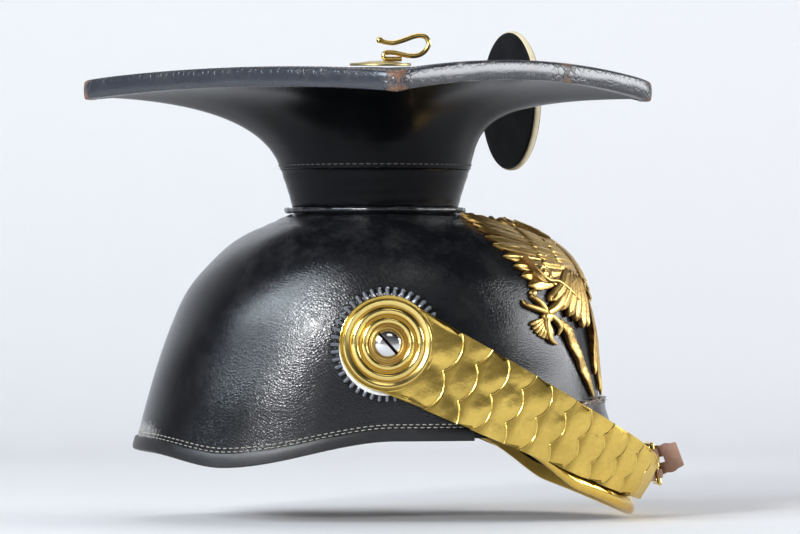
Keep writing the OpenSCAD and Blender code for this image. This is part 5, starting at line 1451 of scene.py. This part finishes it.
for side, hand in hands:
    marks = np.linspace(0, end_tip - 2, 90)
    n = len(marks)
    face = np.array([strap_at(s, -0.02) for s in marks])
    back = np.array([strap_at(s, -lining_t) for s in marks])
    half = np.array([scale_half(s) for s in marks]) - 1.7
    v = np.array([-1, -0.985, -0.9, -0.5, 0, 0.5, 0.9, 0.985, 1])
    keep = np.array([0.35, 0.12, 0, 0, 0, 0, 0, 0.12, 0.35])
    rim = list(zip(v, keep)) + [(e, 1 - k) for e, k in zip(v[::-1], keep[::-1])]
    ring = np.stack([np.stack([mix(face[:, 0], back[:, 0], k), mix(face[:, 1], back[:, 1], k), half * e],
                              -1) for e, k in rim], axis=1)
    faces = loft_faces(n, len(rim), False, True, flip=side > 0) + row_ends(n, len(rim))
    piece(f"strap_lining_{hand}", hang(side, ring), faces, lining_leather, f"strap_{hand}",
          [f"lining_{hand}"], "lining_leather")
    profile = [(shank_r + 0.1, lining_y), (head_r - 1.2, lining_y), (head_r - 0.75, lining_y + 0.4),
               (head_r - 0.75, strap_y - 0.35), (head_r - 1.2, strap_y), (head_r - 2.2, strap_y),
               (head_r - 2.3, head_y - 0.15), (shank_r + 0.1, head_y - 0.15)]
    spin(f"lining_round_{hand}", side, profile, lining_leather, f"strap_{hand}", (), "lining_leather")
    for edge in (-1, 1):
        line = np.arange(8, end_tip - 4, 1.0)
        path = np.array([[*strap_at(s, -lining_t - 0.05), edge * (scale_half(s) - 3.4)] for s in line])
        away = np.array([[*(strap_at(s, -lining_t - 1) - strap_at(s, -lining_t)), 0] for s in line])
        stitches(f"lining_stitches_{hand}_{'upper' if edge > 0 else 'lower'}", hang(side, path),
                 hang(side, path + away) - hang(side, path), 3.2, 2.3, 0.3, pale_thread, f"strap_{hand}")

buckle_out, buckle_up, frame_w, wire_r = 1.4, 8.2, 18.0, 1.2
tilt = -math.degrees(drop) - 12
bar_y = frame_w / 2 - wire_r
c, s = math.cos(math.radians(tilt)), math.sin(math.radians(tilt))


def buckle_pt(x, y, z):
    return np.array([strap_reach + buckle_out + c * x + s * z, y, buckle_up - s * x + c * z])


# The loop: from the strap's end to the near bar, round it and back on itself
face = strap_turn(end_tip)
near = [*(strap_at(end_tip - 4, 0) + 2.0 * np.array([math.cos(face), math.sin(face)])), 2.0]
bore = wire_r + 0.15 + 0.6
mids, tilts = [], []
for f in np.linspace(0, 1, 14):
    mids.append(mix(np.array(near), buckle_pt(-bore, -bar_y - 1.6, 0), f))
    tilts.append(math.radians(tilt) * f)
for a in np.radians(np.linspace(180, -100, 26)):
    mids.append(buckle_pt(bore * math.cos(a), -bar_y + bore * math.sin(a), 0))
    tilts.append(math.radians(tilt))
mids = np.array(mids)
wides = np.array([[math.sin(t), 0, math.cos(t)] for t in tilts])
points, faces = ribbon(mids, wides, 7.5, 1.15, hole=(15, 39, 3, 7), cols=11)
piece("loop_of_buckle", hang(-1, points), faces, worn_leather, "strap_right", ["buckle_loop"],
      "strap_leather")

billet_w, billet_t = 14.5, 1.8
inside = -lining_t - billet_t / 2 - 0.6
stops = []
for along, up, twist in ((-16, 0, 0), (-12, 0, 0), (-8, 0.05, 0), (-4.5, 0.18, 0), (-1, 0.35, 0.1)):
    q = strap_at(end_tip + along, inside)
    stops.append([q[0], -q[1], buckle_up * up, tilt * twist])
ends = [[*buckle_pt(x, y, z), tilt] for x, y, z in (
    (-3, bar_y + 3.4, -1), (-2.8, bar_y, 0), (-2, 3.6, 0.6), (0.2, 0, 1), (3, -4, 1.2), (5.8, -7, 1.5),
    (9, -9, 2), (12.5, -10.4, 2.6))]
stops = np.array(stops + [mix(np.array(stops[-1]), np.array(ends[0]), f) for f in (0.33, 0.67)] + ends)
steps = 85
stops = curve(stops, steps)
mids, twist = stops[:, :3], np.radians(stops[:, 3])
wides = np.stack([np.sin(twist), 0 * twist, np.cos(twist)], -1)
half = np.full(steps, billet_w / 2)
half[-8:] *= np.linspace(1, 0.8, 8)
half[:] += 0.25 * np.sin(np.arange(steps) * 0.7)
rows = np.where((np.abs(mids[:, 1]) < 7) & (np.arange(steps) > 30))[0]
points, faces = ribbon(mids, wides, half, billet_t, hole=(int(rows[0]), int(rows[-1]), 4, 6), cols=11)
piece("worn_billet", hang(-1, points), faces, worn_leather, "strap_left", ["billet"], "strap_leather")

dress(plain_brass, "buckle_frame", "buckle_prong", "badge_fork")
dress(dull_brass, "badge_socket")

# ---------------------------------------------------------------- field badge
# An oval of cream card is covered in black cloth, pleated in front into a domed cockade and
# flat behind. Two wire prongs hold it in a brass socket on the edge of the top.
badge_h, badge_w, badge_t = 71.5, 46.0, 3.5
badge_out = board_side / 2 + 0.1 + 5 + 5.8


def on_badge(out, y, z):
    """A point of the badge: out along the way it faces, y across it, z up from its middle."""
    a, b = math.radians(45), math.radians(30)
    out, y, z = alike(out, y, z)
    return np.stack([badge_out * math.cos(a) + out * math.cos(b) - y * math.sin(b),
                     badge_out * math.sin(a) + out * math.sin(b) + y * math.cos(b), board_z - 2 + z], -1)


def oval_piece(name, profile, finish, stands_for, slot, sharp=45, ripple=None):
    """An oval: each step of the profile is mm in from the edge, and mm out."""
    n = 120
    a = round_steps(n)
    rings = []
    for inset, out in profile:
        bump = ripple(a, inset) if ripple else 0
        rings.append(on_badge(out + bump, (badge_w / 2 - inset * badge_w / badge_h) * np.cos(a),
                              (badge_h / 2 - inset) * np.sin(a)))
    return slab(name, np.stack(rings, axis=1), finish, "badge", stands_for, slot, sharp=sharp)


card = stained("cream_card", (0.74, 0.65, 0.44), (0.4, 0.32, 0.19), (110.0, 8.0, 0.7), 0.45, 2.4, 0.85,
               (900.0, 4.0), (1.0, 1.0, 0.2), 0.5, 0.0002)
badge_cloth = black_leather("badge_cloth", (0.005, 0.005, 0.006), (0.07, 0.07, 0.075), 0.34, pebbles=2200.0,
                            depth=0.3, scuff=0.15, dusty=0.1, folds=200.0, sheen=0.12)

t = badge_t / 2
oval_piece("badge_card", [(20, -t), (1.2, -t), (0.5, -t + 0.1), (0.1, -t + 0.5), (0, -t + 1.2),
                          (0.05, t - 1.0), (0.2, t - 0.4), (0.6, t - 0.05), (1.2, t), (20, t)], card,
           ["badge_board"], "badge_pale")
oval_piece("badge_back_cloth", [(22, -t - 0.85), (16, -t - 0.85), (10, -t - 0.85), (5, -t - 0.85),
                                (2, -t - 0.85), (1.2, -t - 0.8), (0.8, -t - 0.55), (0.7, -t - 0.05),
                                (22, -t - 0.05)], badge_cloth, ["badge_back"], "badge_black",
           ripple=lambda a, inset: 0.05 * np.sin(7 * a + inset) * min(1, inset / 4))
rise, profile = 6.0, [(22, t + 0.05), (1.0, t + 0.05), (1.0, t + 0.45)]
for q in np.linspace(0.97, 0.28, 52):
    cord = 0.38 * abs(math.sin(q * math.pi * 13))
    profile.append((badge_h / 2 - (badge_h - 2) / 2 * q, t + 0.5 + rise * (1 - q * q) + cord - 0.25))
oval_piece("badge_face_cloth", profile, badge_cloth, ["badge_face"], "badge_black", sharp=70)

# ---------------------------------------------------------------- line hook
# A dished brass disc is riveted to the top, and a hook of drawn brass wire, its tip turned
# into a ball, is soldered along it.
disc_y, disc_r, disc_rim, disc_t = 47.0, 15.0, 1.3, 2.4
hook_r = 1.2
disc_z = float(board_top(-90.0, disc_y / board_r)[2]) + 0.35
lean_c, lean_s = math.cos(math.radians(2.5)), math.sin(math.radians(2.5))


def on_disc(x, y, z):
    x, y, z = alike(x, y, z)
    return np.stack([x + 1, y * lean_c - z * lean_s - disc_y, y * lean_s + z * lean_c + disc_z], -1)


n = 120
a = round_steps(n)
dish = [(r, disc_t + 0.02 - r * r / 120) for r in np.linspace(disc_r - 2.3, 0.3, 16)]
profile = [(0.3, 0), (disc_r - 0.3, 0), (disc_r, 0.3), (disc_r, 1.0), (disc_r - 0.35, disc_rim),
           (disc_r - 1.2, disc_rim), (disc_r - 1.9, disc_rim - 0.15)] + dish
ring = np.stack([on_disc(r * np.cos(a), r * np.sin(a), h + (0.06 * np.sin(3 * a + r) if h > 1 else 0))
                 for r, h in profile], axis=1)
slab("dished_disc", ring, dull_brass, "cap", ["hook_disc"], "dull_brass")


def pipe(path, ahead, aside, radii, sides):
    """Rings of points round a line: aside helps to tell which way is across."""
    one = unit(np.cross(ahead, np.array(aside)))
    two = np.cross(ahead, one)
    a = round_steps(sides)
    return path[:, None, :] + np.asarray(radii, float)[..., None, None] * (
        np.cos(a)[None, :, None] * one[:, None, :] + np.sin(a)[None, :, None] * two[:, None, :])


def tube(name, path, radii, finish, body, stands_for, slot, sides=16):
    """A drawn wire along a line, with its radius at each point."""
    path = np.asarray(path, float)
    ring = pipe(path, unit(np.gradient(path, axis=0)), [0.05, 1, 0.02], radii, sides)
    faces = loft_faces(len(path), sides, False, True, flip=True) + row_ends(len(path), sides, flip=True)
    return piece(name, ring, faces, finish, body, stands_for, slot, sharp=60)


bends = [(11.4, 0.95), (8, 0.95), (4.2, 0.95), (3.1, 1.4), (2.6, 2.5), (3.1, 3.6), (4.2, 4.1), (8, 4),
         (12, 3.1), (15.8, 2.5), (19.4, 2.8), (22.4, 4.4), (24.3, 7), (24.6, 9.6), (23.2, 11.7),
         (20.4, 12.4), (17, 11.8), (12, 10), (7.4, 8.8), (3.2, 9.2), (0.6, 10.2)]
wire_n, wire_end = 150, 146
line = curve(bends, wire_n)
lead = unit(line[-1] - line[-4])
ball, cuts = hook_r * 1.35, (-38, -20, 0, 20, 40, 58, 74, 86)
extra = [line[-1] + lead * ball * math.sin(math.radians(e)) for e in cuts]
radii = list(np.full(wire_end, hook_r)) + [ball * math.cos(math.radians(e)) for e in cuts]
line = np.concatenate([line[:wire_end], extra])
tube("wire_hook", [(x, -disc_y, disc_z + disc_t + z) for x, z in line], radii, plain_brass, "cap",
     ["line_hook"], "plain_brass")

# ---------------------------------------------------------------- liner
# A leather sweatband is sewn in at the edge, and eight tongues rise from it to a lace
# that draws them together over the head.
liner_hide = black_leather("liner_hide", (0.2, 0.12, 0.07), (0.36, 0.25, 0.16), 0.62, pebbles=900.0,
                           depth=0.5, scuff=0.7, dusty=0.2, folds=60.0)
tape_in = 1.1
off = hide + tape_in + 0.6
sweat_t, sweat_h = 1.8, 36.0
n = 240
phi = np.arange(n) * 360 / n
fold = 0.35 * sin_deg(phi * 17) + 0.2 * sin_deg(phi * 41 + 10)
rows = [(2.0, 0.15, 0), (2.4, 0, 0), (9, 0, 0.4), (18, 0, 1), (27, 0, 1), (35.4, 0, 0.6),
        (sweat_h, 0.3, 0.5), (sweat_h, sweat_t - 0.3, 0.5), (35.4, sweat_t, 0.6), (27, sweat_t, 1),
        (18, sweat_t, 1), (9, sweat_t, 0.4), (2.4, sweat_t, 0), (2.0, sweat_t - 0.3, 0)]
ring = np.stack([hem(phi, h, -off - d - 0.35 * share + fold * share) for h, d, share in rows], axis=1)
shell("sweat_leather", ring, liner_hide, "cap", ["sweatband"], "liner_leather")
line = np.linspace(0, 360, 500)
for number, height in enumerate((4.5, 33.5)):
    stitches(f"sweat_stitches_{number + 1}", hem(line, height, -off - sweat_t - 0.1),
             -skull_out(line, 0.02 + 0 * line), 4.2, 2.8, 0.32, pale_thread, "cap")

lace_ring_r, lace_z, lace_r, tongue_t, tongues = 32.0, 80.0, 1.0, 1.4, 8


def tongue_mid(p, f):
    """The way of a tongue p degrees round: f runs from the sweatband to the lace."""
    p, f = alike(p, f)
    at = hide + tape_in + sweat_t + 0.9
    c, s = cos_deg(p), sin_deg(p)
    line = [hem(p, sweat_h - 10, -at), hem(p, sweat_h + 24, -at - 10),
            np.stack([c * (lace_ring_r + 22), s * (lace_ring_r + 20), lace_z - 8 + 0 * c], -1),
            np.stack([c * lace_ring_r, s * lace_ring_r, lace_z + 0 * c], -1)]
    return cubic(line, f[..., None])


points, faces = [], []
for k in range(tongues):
    p = (k + 0.5) * 360 / tongues
    side = np.array([-math.sin(math.radians(p)), math.cos(math.radians(p)), 0])
    outer, inner = [], []
    for f in np.linspace(0, 0.962, 34):
        half = mix(20, 0, f**0.5)
        reach = 6.5 * float(smooth(0.5, 0.96, f))
        a, b = tongue_mid(p - half, f) - side * reach, tongue_mid(p + half, f) + side * reach
        v = np.linspace(0, 1, 13)[:, None]
        ahead = unit(tongue_mid(p, max(0, f - 0.03)) - tongue_mid(p, min(1, f + 0.03)))
        up = unit(np.cross(ahead, side))
        crease = 0.5 * np.sin(v * 17 + k) * f * (1 - f) * 2 + 0.25 * np.sin(f * 34 + v * 6 + k) * (f < 0.9)
        spot = a + (b - a) * v + up * crease
        outer.append(spot + up * tongue_t / 2)
        inner.append(spot - up * tongue_t / 2)
    ring = np.concatenate([np.array(outer), np.array(inner)[:, ::-1]], axis=1)
    start = len(points)
    points.extend(ring.reshape(-1, 3))
    rows, cols = ring.shape[:2]
    faces += loft_faces(rows, cols, False, True, start=start, flip=True)
    faces += row_ends(rows, cols, start, flip=True)
    # The hem that holds the lace
    turns, around_hem = np.radians(np.linspace(p - 9, p + 9, 13)), np.linspace(0, 2 * math.pi, 17)[:-1]
    ring = []
    for r in (lace_r + 0.3 + tongue_t, lace_r + 0.3):
        ring.append([[[(lace_ring_r + r * math.cos(b)) * math.cos(a),
                       (lace_ring_r + r * math.cos(b)) * math.sin(a), lace_z + r * math.sin(b)]
                      for b in around_hem] for a in turns])
    ring = np.concatenate([np.array(ring[0]), np.array(ring[1])[::-1]], axis=0)
    start = len(points)
    points.extend(ring.reshape(-1, 3))
    faces += loft_faces(*ring.shape[:2], True, True, start=start, flip=True)
piece("tongue_leather", points, faces, liner_hide, "cap", ["liner_tongues"], "liner_leather", sharp=40)

# The lace: a twisted cord of three strands
n, sides, strands, twists, strand_off, strand_r = 420, 7, 3, 46, 0.46, 0.52
t = round_steps(n)
points, faces = [], []
for k in range(strands):
    turn = twists * t + k * 2 * math.pi / strands
    r, z = lace_ring_r + strand_off * np.cos(turn), lace_z + strand_off * np.sin(turn)
    mid = np.stack([r * np.cos(t), r * np.sin(t), z], -1)
    ahead = unit(np.roll(mid, -1, 0) - np.roll(mid, 1, 0))
    faces += loft_faces(n, sides, True, True, start=len(points), flip=True)
    points.extend(pipe(mid, ahead, [0, 0, 1.0], strand_r, sides).reshape(-1, 3))
piece("twisted_lace", points, faces, thread("lace_thread", (0.3, 0.2, 0.12)), "cap", ["liner_lace"], "lace",
      sharp=180)
